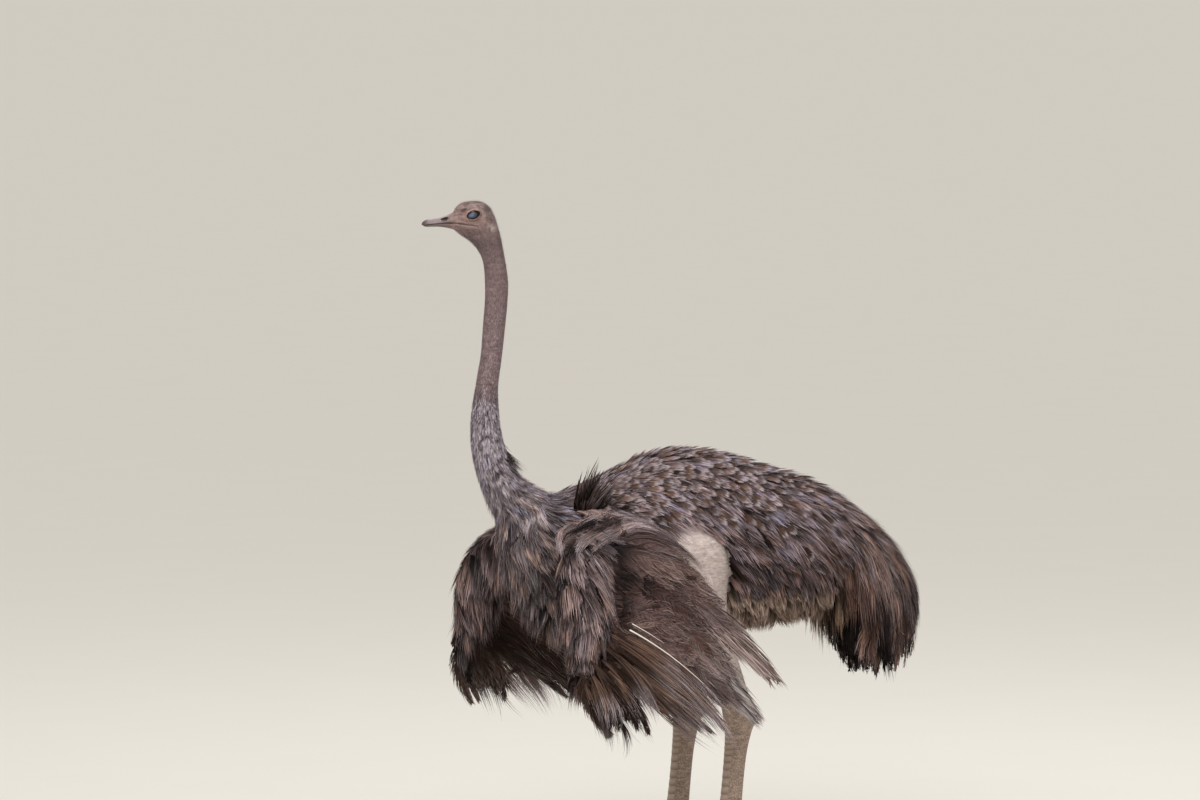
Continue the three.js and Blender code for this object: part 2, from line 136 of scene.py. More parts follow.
def along(rows, t):
    """The rows at t, from 0 to 1, of a uniform Catmull-Rom curve through rows of numbers."""
    rows = np.asarray(rows, float)
    last = len(rows) - 1
    place = np.clip(t, 0, 1) * last
    k = np.minimum(place.astype(int), last - 1)
    s = (place - k)[..., None]
    padded = np.vstack([2 * rows[0] - rows[1], rows, 2 * rows[-1] - rows[-2]])
    a, b, c, d = (padded[k + i] for i in range(4))
    bend = 2 * a - 5 * b + 4 * c - d
    twist = 3 * b - a - 3 * c + d
    return b + s * (c - a + s * (bend + s * twist)) / 2


def neck_ribs(line):
    """Ribs square to a middle line: its points moved by the radius across the line's own slope."""
    line = np.asarray(line, float)
    way = np.vstack([line[1] - line[0], line[2:] - line[:-2], line[-1] - line[-2]])[:, :2]
    way /= np.linalg.norm(way, axis=1)[:, None]
    x, z, r = line.T
    rows = [x - way[:, 1] * r, z + way[:, 0] * r, x + way[:, 1] * r, z - way[:, 0] * r]
    return np.column_stack(rows + [r * NECK_FLATNESS])


def head_ribs(rows):
    """Ribs given from the eye: forward and up become x and height."""
    back_x, back_z, throat_x, throat_z, half = np.asarray(rows, float).T
    return np.column_stack(
        [EYE_X - back_x, EYE_LEVEL + back_z, EYE_X - throat_x, EYE_LEVEL + throat_z, half]
    )


RIBS = np.vstack([head_ribs(HEAD_RIBS), neck_ribs(NECK_LINE), TRUNK_RIBS])


def unit(vectors):
    """Vectors divided by their lengths."""
    return vectors / np.maximum(np.linalg.norm(vectors, axis=-1, keepdims=True), 1e-9)


def straight_body(place, angle, inset=0.0):
    """The form before the head is turned: an ellipse on each rib, angle 0 on the back, pi on the belly and
    positive on her right side, shrunk by inset, its back narrower by the share slim."""
    place, angle, inset = np.broadcast_arrays(place, angle, inset)
    row = along(RIBS, place / (len(RIBS) - 1))
    top = np.stack([row[..., 0], 0 * place, row[..., 1]], -1)
    low = np.stack([row[..., 2], 0 * place, row[..., 3]], -1)
    middle = (top + low) / 2
    up = top - middle
    depth = np.linalg.norm(up, axis=-1)
    up = up * (1 - inset / depth)[..., None]
    slim = TRUNK_SLIM * smooth(17, 22, place) * (1 - smooth(29, 31, place))
    across = np.sin(angle) * (1 - slim * np.cos(angle)) * (row[..., 4] - inset)
    return middle + up * np.cos(angle)[..., None] + across[..., None] * np.array([0, 1.0, 0])


HEAD_TURN = np.radians(-22)  # she looks to her right
TURN_X = -660  # the neck's upright line


def turned(points, way=1):
    """Points turned about the neck's upright line, by more the higher they are, or turned back."""
    turn = way * HEAD_TURN * smooth(1450, 1700, points[..., 2])
    x, y = points[..., 0] - TURN_X, points[..., 1]
    made = points.copy()
    made[..., 0] = TURN_X + x * np.cos(turn) - y * np.sin(turn)
    made[..., 1] = x * np.sin(turn) + y * np.cos(turn)
    return made


def body(place, angle, inset=0.0):
    """The form of head, neck, trunk and tail with the head turned."""
    return turned(straight_body(place, angle, inset))


# How deep the coat is at places along the ribs.
COAT_DEPTH = np.array(
    [[0, 1.2], [9, 1.6], [12.5, 2.5], [14.5, 7], [17, 14], [19, 24], [21, 33], [24, 38], [30, 42], [34, 66]]
)


def coat_depth(place):
    """How far the skin lies inside the coat's outer face, in mm, straight between the rows above."""
    return np.interp(place, *COAT_DEPTH.T)


ORIGIN_SHIFT = np.array([117.0, 0, 0])  # from the body's own numbers to the middle of the floor
HEAD_RINGS, NECK_RINGS, TRUNK_RINGS, BODY_SIDES = 150, 110, 70, 150
EYE_RADIUS = 22.6
EYE_OUT = 23.6
LID = {"half_long": 17.5, "half_high": 11.0, "tilt": 0.3, "thick": 2.3, "rim": 0.9, "sides": 96}
MOUTH_LINE = np.array([[-14, -31], [10, -27.5], [40, -24.3], [70, -23.5]])  # forward and up from the eye
JAW_LINE = np.array([[-15, -42], [10, -44], [45, -39]])
BROW_LINE = np.array([[-26, 24], [0, 27], [30, 17]])


def to_metres(points):
    """Points in millimetres of the body's own numbers, in metres from the middle of the floor."""
    return (points + ORIGIN_SHIFT) / 1000


def circle(sides):
    """Angles at even steps round a circle."""
    return np.arange(sides) * 2 * np.pi / sides


def triangles_of_grid(rows, columns, closed=True):
    """Two triangles for each cell of a grid of points, row after row, closed round its columns or not."""
    i, j = np.meshgrid(np.arange(rows - 1), np.arange(columns - (not closed)), indexing="ij")
    k = (j + 1) % columns
    a, b, c, d = i * columns + j, i * columns + k, (i + 1) * columns + k, (i + 1) * columns + j
    return np.concatenate([np.stack([a, b, c], -1), np.stack([a, c, d], -1)]).reshape(-1, 3)


def outward(points, faces):
    """A closed mesh's triangles, turned round if its signed volume, the sum of a . (b x c), is negative."""
    a, b, c = (points[faces[:, i]] - points.mean(0) for i in range(3))
    return faces[:, ::-1] if np.einsum("ij,ij", a, np.cross(b, c)) < 0 else faces


def solid_tube(rings):
    """Points and outward triangles of a tube through rings (rows, sides, 3) with a fan on each end."""
    rows, sides = rings.shape[:2]
    points = np.vstack([rings.reshape(-1, 3), rings[0].mean(0), rings[-1].mean(0)])
    side = np.arange(sides)
    following = (side + 1) % sides
    near = np.stack([np.full(sides, rows * sides), following, side], -1)
    last = (rows - 1) * sides
    far = np.stack([np.full(sides, rows * sides + 1), last + side, last + following], -1)
    return points, outward(points, np.vstack([triangles_of_grid(rows, sides), near, far]))


def set_tint(piece, tint):
    """Stores a colour for each vertex as the attribute tint."""
    layer = piece.data.attributes.new("tint", "FLOAT_COLOR", "POINT")
    rgba = np.column_stack([tint, np.ones(len(tint))]).astype(np.float32)
    layer.data.foreach_set("color", rgba.ravel())


def make_piece(name, points, faces, tint=None, material=None):
    """A smooth mesh object in metres from points in mm and triangles, with a colour for each point."""
    mesh = bpy.data.meshes.new(name)
    mesh.vertices.add(len(points))
    mesh.vertices.foreach_set("co", to_metres(points).astype(np.float32).ravel())
    mesh.loops.add(faces.size)
    mesh.loops.foreach_set("vertex_index", faces.astype(np.int32).ravel())
    mesh.polygons.add(len(faces))
    mesh.polygons.foreach_set("loop_start", np.arange(0, faces.size, 3, dtype=np.int32))
    mesh.update(calc_edges=True)
    mesh.polygons.foreach_set("use_smooth", np.ones(len(faces), bool))
    piece = bpy.data.objects.new(name, mesh)
    bpy.context.scene.collection.objects.link(piece)
    if tint is not None:
        set_tint(piece, tint)
    if material is not None:
        mesh.materials.append(material)
    return piece


def face_folds(points):
    """The folds of the face on points from the eye: the mouth's line, the jaw's line and the ear sink in, the
    brow and the cheek stand out, each as a bell curve across its line, moved along y."""
    forward = EYE_X - points[..., 0]
    height = points[..., 2] - EYE_LEVEL
    mouth, jaw, brow = (np.interp(forward, *line.T) for line in (MOUTH_LINE, JAW_LINE, BROW_LINE))

    def bell(centre, width):
        """e^-((z - centre) / width)^2 over the height z."""
        return np.exp(-(((height - centre) / width) ** 2))

    def near(x, z, size):
        """A round bell curve about a place forward and up from the eye."""
        return np.exp(-((forward - x) ** 2 + (height - z) ** 2) / size**2)

    move = -2.6 * bell(mouth, 1.9) * smooth(-16, -6, forward)
    move += 1.3 * bell(mouth - 5, 3.2) * smooth(-20, 0, forward)
    move += 1.0 * bell(mouth + 4.5, 2.6) * smooth(-16, 0, forward)
    move -= 1.2 * bell(jaw, 2.2) * smooth(-20, -8, forward) * (1 - smooth(42, 52, forward))
    move += 2.2 * bell(brow, 5) * smooth(-34, -16, forward) * (1 - smooth(22, 40, forward))
    from_eye = np.hypot(forward, height)
    move -= 1.1 * np.exp(-(((from_eye - 25.5) / 1.7) ** 2)) * smooth(-14, 6, -height - 0.3 * forward)
    move += 0.9 * np.exp(-(((from_eye - 30) / 2.6) ** 2)) * smooth(-14, 6, -height - 0.3 * forward)
    move -= 3.0 * near(33, 2, 9) + 3.6 * near(-49, -37, 4.5) - 2.0 * near(-44, -37, 9)
    made = points.copy()
    made[..., 1] += np.sign(points[..., 1]) * move * smooth(3, 14, np.abs(points[..., 1]))
    return made


def skin_body():
    """Rings of the body's form, inside the coat, with folds on the face and a closed nose and tail."""
    places = np.concatenate(
        [
            np.linspace(0, NECK_TOP, HEAD_RINGS, endpoint=False),
            np.linspace(NECK_TOP, CROP, NECK_RINGS, endpoint=False),
            np.linspace(CROP, TAIL_END, TRUNK_RINGS),
        ]
    )
    form = straight_body(places[:, None], circle(BODY_SIDES)[None, :], coat_depth(places)[:, None])
    rings = face_folds(form)

    def closing(ring, way):
        """Rings drawn in to a rounded end, moved along way as the cosine and sine of a quarter turn."""
        turns = np.linspace(0, np.pi / 2, 7)[1:-1, None, None]
        return ring.mean(0) + (ring - ring.mean(0)) * np.cos(turns) + way * np.sin(turns)

    nose = closing(rings[0], np.array([-5.0, 0, 0]))[::-1]
    tail = closing(rings[-1], np.array([10.0, 0, -60.0]))
    return solid_tube(turned(np.concatenate([nose, rings, tail])))


def almond(forward, height):
    """How far out of the eye's opening a place is: below 1 inside, by a tilted ellipse with drawn corners."""
    c, s = np.cos(LID["tilt"]), np.sin(LID["tilt"])
    along_it = (forward * c - height * s) / LID["half_long"]
    over_it = (forward * s + height * c) / LID["half_high"]
    return (np.abs(along_it) ** 1.7 + np.abs(over_it) ** 2) ** 0.5


def lid(side):
    """A shell over the eyeball, from the rim of the opening down to the ball's equator. Its outer face is a
    sphere, thicker at the rim, and its inner face sits on the ball."""
    forward, height = np.cos(circle(LID["sides"])), np.sin(circle(LID["sides"]))
    reach = EYE_RADIUS * 0.985
    share = 1 / almond(forward, height)
    for _ in range(6):
        share = share / almond(forward * share, height * share)
    steps = np.array([0, 0.02, 0.07, 0.14, 0.24, 0.36, 0.5, 0.65, 0.8, 0.92, 1.0])
    layers = []
    for face in (1, -1):
        for s in steps[:: 1 if face > 0 else -1]:
            radial = share + (reach - share) * s
            swell = LID["rim"] * np.exp(-(((s - 0.07) / 0.05) ** 2))
            tuck = 1 - np.exp(-((s / 0.02) ** 2))
            radius = EYE_RADIUS + 0.2 + (LID["thick"] * tuck + swell * tuck if face > 0 else 0)
            across = radial * radius / EYE_RADIUS
            proud = np.sqrt(np.maximum(radius**2 - across**2, 0))
            layers.append(
                np.stack(
                    [EYE_X - forward * across, side * (EYE_OUT + proud), EYE_LEVEL + height * across], -1
                )
            )
    rings = np.array(layers)
    rows, sides = rings.shape[:2]
    wrap = triangles_of_grid(2, sides)
    wrap = np.where(wrap < sides, wrap + (rows - 1) * sides, wrap - sides)
    points = turned(rings.reshape(-1, 3))
    return points, outward(points, np.vstack([triangles_of_grid(rows, sides), wrap]))


def ball(centre, radius, rows=24, sides=32):
    """Points and triangles of a sphere: circles of radius sin(a) at height cos(a)."""
    a = np.linspace(0.02, np.pi - 0.02, rows)[:, None]
    b = circle(sides)[None, :]
    rings = np.stack([np.sin(a) * np.cos(b), np.sin(a) * np.sin(b), np.cos(a) + 0 * b], -1)
    return solid_tube(centre + radius * rings)


# Leg rows are x, height, distance from the middle plane, half depth and half width, on level rings.
LEG_LINE = [
    [-178, 996, 118, 52, 76],
    [-165, 932, 136, 108, 102],
    [-175, 857, 141, 136, 108],
    [-178, 785, 140, 134, 101],
    [-150, 712, 135, 113, 81],
    [-104, 643, 130, 88, 60],
    [-55, 568, 126, 61, 45],
    [-15, 500, 122, 44, 37],
    [5, 462, 121, 46, 42],
    [9, 430, 120, 44, 41],
    [5, 395, 120, 34, 32],
    [-4, 330, 120, 28, 25],
    [-14, 230, 120, 27, 24],
    [-24, 130, 121, 30, 28],
    [-30, 84, 122, 34, 33],
    [-33, 50, 122, 34, 34],
]
LEFT, RIGHT = -1, 1
LEG_STEP = {LEFT: 0, RIGHT: -55}
LEG_INSET = 0.6
FOOT_X, FOOT_OUT = -30, 122
THIRD_TOE = {
    "turn": 4,
    "out": 0,
    "rows": [
        [-37, 40, 22],
        [-8, 98, 34],
        [22, 90, 35],
        [54, 55, 31],
        [88, 46, 30],
        [122, 40, 29],
        [150, 26, 20],
    ],
}
FOURTH_TOE = {
    "turn": 34,
    "out": 14,
    "rows": [[12, 46, 16], [42, 44, 20], [72, 36, 18], [100, 30, 18], [120, 16, 11]],
}
TOE_MIDDLE = 0.38
TOE_SLIM = 0.18
TOE_RINGS, TOE_SIDES, LEG_RINGS, LEG_SIDES, ARM_RINGS, ARM_SIDES = 40, 28, 120, 64, 40, 28


def leg(place, angle, side, inset=0.0):
    """A point of the leg: an ellipse on a level ring, angle 0 behind and a quarter turn on her right."""
    x, z, out, depth, width = np.moveaxis(along(LEG_LINE, place), -1, 0)
    x = x + LEG_STEP[side] + (depth - inset) * np.cos(angle)
    y = side * out + (width - inset) * np.sin(angle)
    return np.stack([x, y, z + 0 * angle], -1)


def leg_at(z):
    """The leg's row at a height: x, height, distance out, half depth and half width."""
    heights = np.array(LEG_LINE)[:, 1]
    place = np.interp(z, heights[::-1], np.linspace(1, 0, len(heights)))
    return np.moveaxis(along(LEG_LINE, place), -1, 0)


def knuckles(angle, points):
    """The tarsus and hock are not round: a ridge down the shin, knobs at the joint and a sinew behind, each
    a power of the angle's cosine or sine, moved along x and y."""
    z = points[..., 2]
    low = 1 - smooth(520, 640, z)
    front = np.maximum(-np.cos(angle), 0) ** 3
    back = np.maximum(np.cos(angle), 0) ** 4
    knob = np.exp(-(((z - 446) / 34) ** 2)) * np.abs(np.sin(angle)) ** 3
    groove = np.exp(-(((z - 250) / 190) ** 2)) * np.exp(-(((np.abs(np.cos(angle)) - 0.45) / 0.22) ** 2))
    shift = low * (3.0 * front + 4.0 * back + 5.0 * knob - 2.2 * groove)
    made = points.copy()
    made[..., 0] += shift * np.cos(angle)
    made[..., 1] += shift * np.sin(angle)
    return made


def toe_ways(side, turn):
    """Unit steps along a toe and across it, turned out by an angle in degrees."""
    a = side * np.radians(turn)
    return np.array([-np.cos(a), np.sin(a), 0]), np.array([np.sin(a), np.cos(a), 0])


def toe_point(place, angle, kind, side, rise=0.0):
    """A point of a toe, flattened onto the floor, with pads that bulge under the joints, raised by rise."""
    place, angle, rise = np.broadcast_arrays(place, angle, rise)
    forward, across = toe_ways(side, kind["turn"])
    distance, height, half = np.moveaxis(along(kind["rows"], place), -1, 0)
    pads = 1 + 0.05 * np.cos(distance / 34 * 2 * np.pi)
    wide = (half * pads + rise) * np.sin(angle) * (1 - TOE_SLIM * np.cos(angle))
    tall = height * TOE_MIDDLE + (height * (1 - TOE_MIDDLE) + rise) * np.cos(angle)
    tall = np.where(tall < 3, 3 * np.exp((tall - 3) / 9), tall)
    start = np.array([FOOT_X + LEG_STEP[side], side * (FOOT_OUT + kind["out"]), 0])
    flat = start + distance[..., None] * forward + wide[..., None] * across
    return flat * [1, 1, 0] + tall[..., None] * np.array([0, 0, 1.0])


def toe(kind, side):
    """Rings along a toe."""
    place = np.linspace(0, 1, TOE_RINGS)[:, None]
    return solid_tube(toe_point(place, circle(TOE_SIDES)[None, :], kind, side))


# The wing's bones run from the shoulder to the elbow, the wrist and the finger tip: x, distance out and
# height. The flesh round them has the second table's halves, fore and aft and through the wing.
ARM = [[-438, 130, 975], [-534, 330, 884], [-566, 420, 735], [-596, 450, 605]]
ARM_SIZE = [[62, 50], [82, 48], [78, 42], [40, 26]]
ARM_COAT = 20
SIDES_OF = {LEFT: "left", RIGHT: "right"}


def arm_line(u, side):
    """A point of the wing's bones at u, from 0 at the shoulder to 1 at the finger tip."""
    return along(ARM, u) * np.array([1, side, 1])


def arm(u, angle, side, inset=0.0):
    """A point round the wing's bones: an ellipse square to their line, angle 0 on top."""
    u, angle, inset = np.broadcast_arrays(u, angle, inset)
    way = unit(arm_line(u + 0.01, side) - arm_line(u - 0.01, side))
    across = unit(np.cross(way, np.array([0, 0, 1.0])))
    up = np.cross(across, way)
    depth, thick = np.moveaxis(along(ARM_SIZE, u), -1, 0)
    high = ((thick - inset) * np.cos(angle))[..., None] * up
    return arm_line(u, side) + high + ((depth - inset) * np.sin(angle))[..., None] * across


def skin_arm(side):
    """Rings of the wing's flesh, inside its coat, closed at the finger tip."""
    u = np.maximum(np.linspace(-0.02, 1, ARM_RINGS), 0)
    return solid_tube(arm(u[:, None], circle(ARM_SIDES)[None, :], side, ARM_COAT))


def joined(whole, part, how):
    """Joins, or cuts, a second closed piece into the first with Blender's solid boolean."""
    modifier = whole.modifiers.new("join", "BOOLEAN")
    modifier.operation = how
    modifier.solver = "MANIFOLD"
    modifier.object = part
    graph = bpy.context.evaluated_depsgraph_get()
    mesh = bpy.data.meshes.new_from_object(whole.evaluated_get(graph))
    whole.modifiers.clear()
    whole.data = mesh
    bpy.data.objects.remove(part)


skin = make_piece("skin", *skin_body())
for side in (LEFT, RIGHT):
    socket = turned(np.array([[EYE_X, side * EYE_OUT, EYE_LEVEL]]))[0]
    joined(skin, make_piece("socket", *ball(socket, EYE_RADIUS + 0.3)), "DIFFERENCE")
    joined(skin, make_piece("lid", *lid(side)), "UNION")
    angle = circle(LEG_SIDES)[None, :]
    limb = knuckles(angle, leg(np.linspace(0.01, 1, LEG_RINGS)[:, None], angle, side, LEG_INSET))
    joined(skin, make_piece("leg", *solid_tube(limb)), "UNION")
    for kind in (THIRD_TOE, FOURTH_TOE):
        joined(skin, make_piece("toe", *toe(kind, side)), "UNION")
    joined(skin, make_piece("arm", *skin_arm(side)), "UNION")


def colour(code):
    """A colour's linear red, green and blue from its sRGB hex value."""
    value = np.array([int(code[i : i + 2], 16) for i in (1, 3, 5)]) / 255
    return np.where(value <= 0.04045, value / 12.92, ((value + 0.055) / 1.055) ** 2.4)


def mixed(first, second, share):
    """Colours between the first and the second by share."""
    share = np.asarray(share)[..., None]
    return first * (1 - share) + second * share


def mottle(points, size, seed=0.0):
    """Smooth noise from -1 to 1 that changes over size mm: a chance at each whole step, the fraction of a
    large sine, runs into the next ones by 3s^2 - 2s^3."""
    place = points / size + seed * 17.3
    cell = np.floor(place)
    s = smooth(0, 1, place - cell)
    total = 0.0
    for corner in np.ndindex(2, 2, 2):
        wave = np.sin((cell + corner) @ np.array([12.9898, 78.233, 37.719])) * 43758.5453
        total = total + (wave - np.floor(wave)) * np.where(corner, s, 1 - s).prod(-1)
    return 2 * total - 1


NECK_SKIN = colour("#756161")
CROWN = colour("#8c7570")
BROW_PALE = colour("#a8908a")
FACE_PINK = colour("#987c75")
LID_RIM = colour("#3a2b27")
EAR_GREY = colour("#c2b5ae")
FLECK_PALE = colour("#ab9a94")
FLECK_RUST = colour("#7d5240")
# a dark colour both for the skin's own marks and for painted shade on the face
DARK_MARK_AND_SHADE = colour("#43332e")
UNDER_COAT = colour("#4d4340")
BARE_THIGH = colour("#bfb0aa")
LEG_SCALES = colour("#a58f80")
TOE_SCALES = colour("#8d786b")
NAPE_LINE = np.array([[1240, -650], [1430, -655], [1600, -640], [1720, -645]])  # height and x
# Spots on each side of the head: a colour, its strength, and bell curves, each by its place forward and up
# from the eye and its size both ways. The first row is painted shade under the brow in front of the eye and
# the third is painted shade under the jaw's fold; the others are the skin's own marks.
HEAD_SPOTS = [
    (DARK_MARK_AND_SHADE, 0.9, [(29, 11, 7, 3.2), (23, 15, 6, 3)]),
    (DARK_MARK_AND_SHADE, 0.6, [(-34, 12, 6, 10), (-46, -14, 5, 11)]),
    (DARK_MARK_AND_SHADE, 0.7, [(-17, -46, 5, 4), (10, -49, 9, 3)]),
    (EAR_GREY, 0.85, [(-50, -36, 8, 9)]),
    (DARK_MARK_AND_SHADE, 0.9, [(-43, -41, 2.6, 8)]),
]


def ringed(forward, height):
    """1 on a ring of bare skin round the eye, 0 within the opening and beyond the ring."""
    out = almond(forward, height)
    return 1 + smooth(0.9, 1.1, out) * (1 - smooth(1.3, 1.75, out)) - 0.5 * smooth(1.5, 1.9, out)


def in_leg(points, grow=4.0):
    """1 inside either leg's level rings grown by a little, otherwise 0."""
    x, _, out, depth, width = leg_at(points[:, 2])
    found = points[:, 2] < 600
    for side in (LEFT, RIGHT):
        dx = (points[:, 0] - x - LEG_STEP[side]) / (depth + grow)
        dy = (points[:, 1] - side * out) / (width + grow)
        found |= dx**2 + dy**2 < 1
    return found.astype(float)


def marked_skin(points):
    """The skin's colours at points in mm: each marking is a smooth share of a place on the bird, and so is
    the painted shade under the brow, under the jaw and in the fold over the eye.
    """
    flat = turned(points, -1)
    forward, height = EYE_X - flat[:, 0], flat[:, 2] - EYE_LEVEL
    z = points[:, 2]
    tint = np.broadcast_to(UNDER_COAT, points.shape)
    tint = mixed(tint, NECK_SKIN, smooth(1200, 1330, z))
    tint = mixed(tint, CROWN, smooth(1735, 1790, z))

    def near(x, up, size_x, size_z):
        """A bell curve about a place forward and up from the eye, with a size each way."""
        return np.exp(-(((forward - x) / size_x) ** 2) - ((height - up) / size_z) ** 2)

    head = smooth(1700, 1730, z)
    coarse, fine, freckle = (mottle(points, size, seed) for size, seed in ((8, 1), (3.6, 2), (5.5, 3)))
    tint = mixed(tint, FACE_PINK, head * 0.8 * np.clip(near(15, -20, 32, 15) + near(-14, -22, 16, 14), 0, 1))
    tint = mixed(tint, FACE_PINK, head * 0.7 * smooth(0.9, 1.05, ringed(forward, height)))
    behind = head * np.clip(near(-34, 4, 22, 30), 0, 1)
    tint = mixed(tint, FLECK_PALE, behind * 0.5 * smooth(0.1, 0.5, freckle))
    tint = mixed(tint, DARK_MARK_AND_SHADE, behind * (0.2 + 0.5 * smooth(0.1, 0.5, -freckle)))
    # painted shade: darker low on the head, under the jaw
    tint = mixed(tint, DARK_MARK_AND_SHADE, head * 0.3 * smooth(-28, -48, height))
    tint = mixed(tint, BROW_PALE, head * 0.8 * near(44, 22, 22, 12))
    tint = mixed(tint, FLECK_RUST, head * 0.6 * near(30, 22, 26, 12) * smooth(0.0, 0.5, fine))
    for spot, strength, bells in HEAD_SPOTS:
        tint = mixed(tint, spot, head * strength * np.clip(sum(near(*bell) for bell in bells), 0, 1))
    # painted shade in the fold over the eye, under the brow
    crease_shade = np.exp(-(((almond(forward, height) - 1.62) / 0.12) ** 2)) * smooth(-6, 6, height)
    tint = mixed(tint, DARK_MARK_AND_SHADE, head * 0.5 * crease_shade)
    bare = smooth(1250, 1330, z)
    nape = smooth(0.1, 0.8, (points[:, 0] - np.interp(z, *NAPE_LINE.T)) / 30)
    tint = mixed(tint, DARK_MARK_AND_SHADE, bare * (1 - head) * 0.5 * nape * smooth(-0.1, 0.5, mottle(points, 26, 4)))
    tint = tint * (1 + bare * (0.2 * coarse + 0.24 * fine))[:, None]
    line = np.exp(-(((height - np.interp(forward, *MOUTH_LINE.T)) / 1.5) ** 2))
    tint = mixed(tint, LID_RIM, 0.85 * line * smooth(-16, -6, forward) * head)
    on_ball = np.linalg.norm(flat - [EYE_X, 0, EYE_LEVEL] - np.sign(flat[:, 1:2]) * [0, EYE_OUT, 0], axis=1)
    rim = (1 - smooth(1.0, 1.09, almond(forward, height))) * (1 - smooth(26.5, 27.5, on_ball)) * head
    tint = mixed(tint, LID_RIM, rim)
    legs = (1 - smooth(930, 990, z)) * in_leg(points)
    tint = mixed(tint, BARE_THIGH, legs)
    tint = mixed(tint, LEG_SCALES, legs * (1 - smooth(480, 640, z)))
    return mixed(tint, TOE_SCALES, legs * (1 - smooth(90, 240, z)))


def points_of(piece):
    """A piece's vertices in mm, in the body's own numbers."""
    flat = np.empty(len(piece.data.vertices) * 3, np.float32)
    piece.data.vertices.foreach_get("co", flat)
    return flat.reshape(-1, 3).astype(float) * 1000 - ORIGIN_SHIFT


set_tint(skin, marked_skin(points_of(skin)))


def new_material(name):
    """A node material with its shader and output joined."""
    material = bpy.data.materials.new(name)
    material.use_nodes = True
    return material


def add_node(material, kind, settings=None, **links):
    """Adds a node, sets its properties and socket values, and joins its inputs to other nodes' outputs."""
    node = material.node_tree.nodes.new(kind)
    for key, value in (settings or {}).items():
        if hasattr(node, key) and key not in node.inputs:
            setattr(node, key, value)
        else:
            node.inputs[key].default_value = value
    for key, source in links.items():
        socket = node.inputs[key.replace("_", " ")] if not key.startswith("i_") else node.inputs[int(key[2:])]
        material.node_tree.links.new(source, socket)
    return node


def shader(material, **links):
    """The material's Principled shader, with its inputs joined by name and numbers set."""
    node = material.node_tree.nodes["Principled BSDF"]
    for key, value in links.items():
        socket = node.inputs[key.replace("_", " ")]
        if isinstance(value, bpy.types.NodeSocket):
            material.node_tree.links.new(value, socket)
        else:
            socket.default_value = value
    return node


def spread(low, high, least, most):
    """The ends of a range node, from low to high onto least to most."""
    return {"From Min": low, "From Max": high, "To Min": least, "To Max": most}


def shaded_tint(material, source, *ends):
    """The attribute tint times a share: source spread between the ends."""
    tint = add_node(material, "ShaderNodeAttribute", {"attribute_name": "tint"})
    share = add_node(material, "ShaderNodeMapRange", spread(*ends), Value=source)
    scaled = {"operation": "SCALE"}
    return add_node(
        material, "ShaderNodeVectorMath", scaled, i_0=tint.outputs["Color"], Scale=share.outputs[0]
    ).outputs[0]


# Living skin is a soft leather: fine crossing folds 1 to 3 mm apart, a dull sheen, no gloss. On the legs,
# from 0.7 m down, it turns to small many-sided scales about 7 mm across with dark grooves.
hide = new_material("bare_skin")
where = add_node(hide, "ShaderNodeTexCoord").outputs["Object"]
folds = add_node(hide, "ShaderNodeTexNoise", {"Scale": 420.0, "Detail": 5.0, "Roughness": 0.6}, Vector=where)
flat = add_node(hide, "ShaderNodeMapping", {"Scale": (0.6, 0.6, 2.2)}, Vector=where)
ridges = add_node(hide, "ShaderNodeTexNoise", {"Scale": 75.0, "Detail": 4.0}, Vector=flat.outputs[0])
both = add_node(hide, "ShaderNodeMath", {"operation": "ADD"}, i_0=folds.outputs[0], i_1=ridges.outputs[0])
cells = {"feature": "DISTANCE_TO_EDGE", "Scale": 150.0}
scales = add_node(hide, "ShaderNodeTexVoronoi", cells, Vector=where).outputs["Distance"]
groove = add_node(hide, "ShaderNodeMapRange", spread(0.0, 0.14, -0.34, 0.04), Value=scales).outputs[0]
height = add_node(hide, "ShaderNodeSeparateXYZ", Vector=where).outputs["Z"]
on_leg = add_node(hide, "ShaderNodeMapRange", spread(0.72, 0.5, 0.0, 1.0), Value=height).outputs[0]
grooved = {"operation": "MULTIPLY_ADD"}
uneven = add_node(hide, "ShaderNodeMath", grooved, i_0=groove, i_1=on_leg, i_2=both.outputs[0]).outputs[0]
relief = add_node(hide, "ShaderNodeBump", {"Strength": 0.55, "Distance": 0.002}, Height=uneven)
skin_tone = shaded_tint(hide, uneven, 0.72, 1.28, 0.55, 1.42)
shader(hide, Base_Color=skin_tone, Normal=relief.outputs[0], Roughness=0.62)
skin.data.materials.clear()
skin.data.materials.append(hide)
FLESH = ["head", "neck_upper", "neck_middle", "neck_lower", "breast", "body", "rump", "tail_base"]
LIMBS = ["thigh", "hock", "tarsus", "third_toe", "fourth_toe", "upper_arm", "forearm", "hand"]
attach(skin, "root")
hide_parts(*FLESH, *[f"{word}_{limb}" for word in SIDES_OF.values() for limb in LIMBS])

# ---- Eyes ----
# Each eye is a wet ball set in its socket, dark brown round a black pupil. The third lid, a thin bluish
# film, is drawn over most of it, as it is while she blinks.
EYE_BROWN = colour("#1e1410")
IRIS = colour("#37231a")
PUPIL = colour("#070606")
FILM = colour("#73809b")
# painted shade along the film's edge
FILM_EDGE_SHADE = colour("#363d4e")
FILM_HIGHLIGHT_GAIN = 1.35  # painted highlight: the film is drawn brighter than the ball
FILM_PROUD = 0.5  # mm over the ball
FILM_LIT = (0.25, 0.45)  # painted highlight: the film is palest towards the front and the top
EYE_RINGS, EYE_SIDES = 90, 96
FILM_PLACE = {"forward": 2.6, "height": -0.9, "half_long": 13.6, "half_high": 8.2}


def tinted_tube(rings, tint):
    """A solid tube with a colour for each point, each end in its last ring's mean colour."""
    ends = np.vstack([tint[0].mean(0), tint[-1].mean(0)])
    return *solid_tube(rings), np.vstack([tint.reshape(-1, 3), ends])


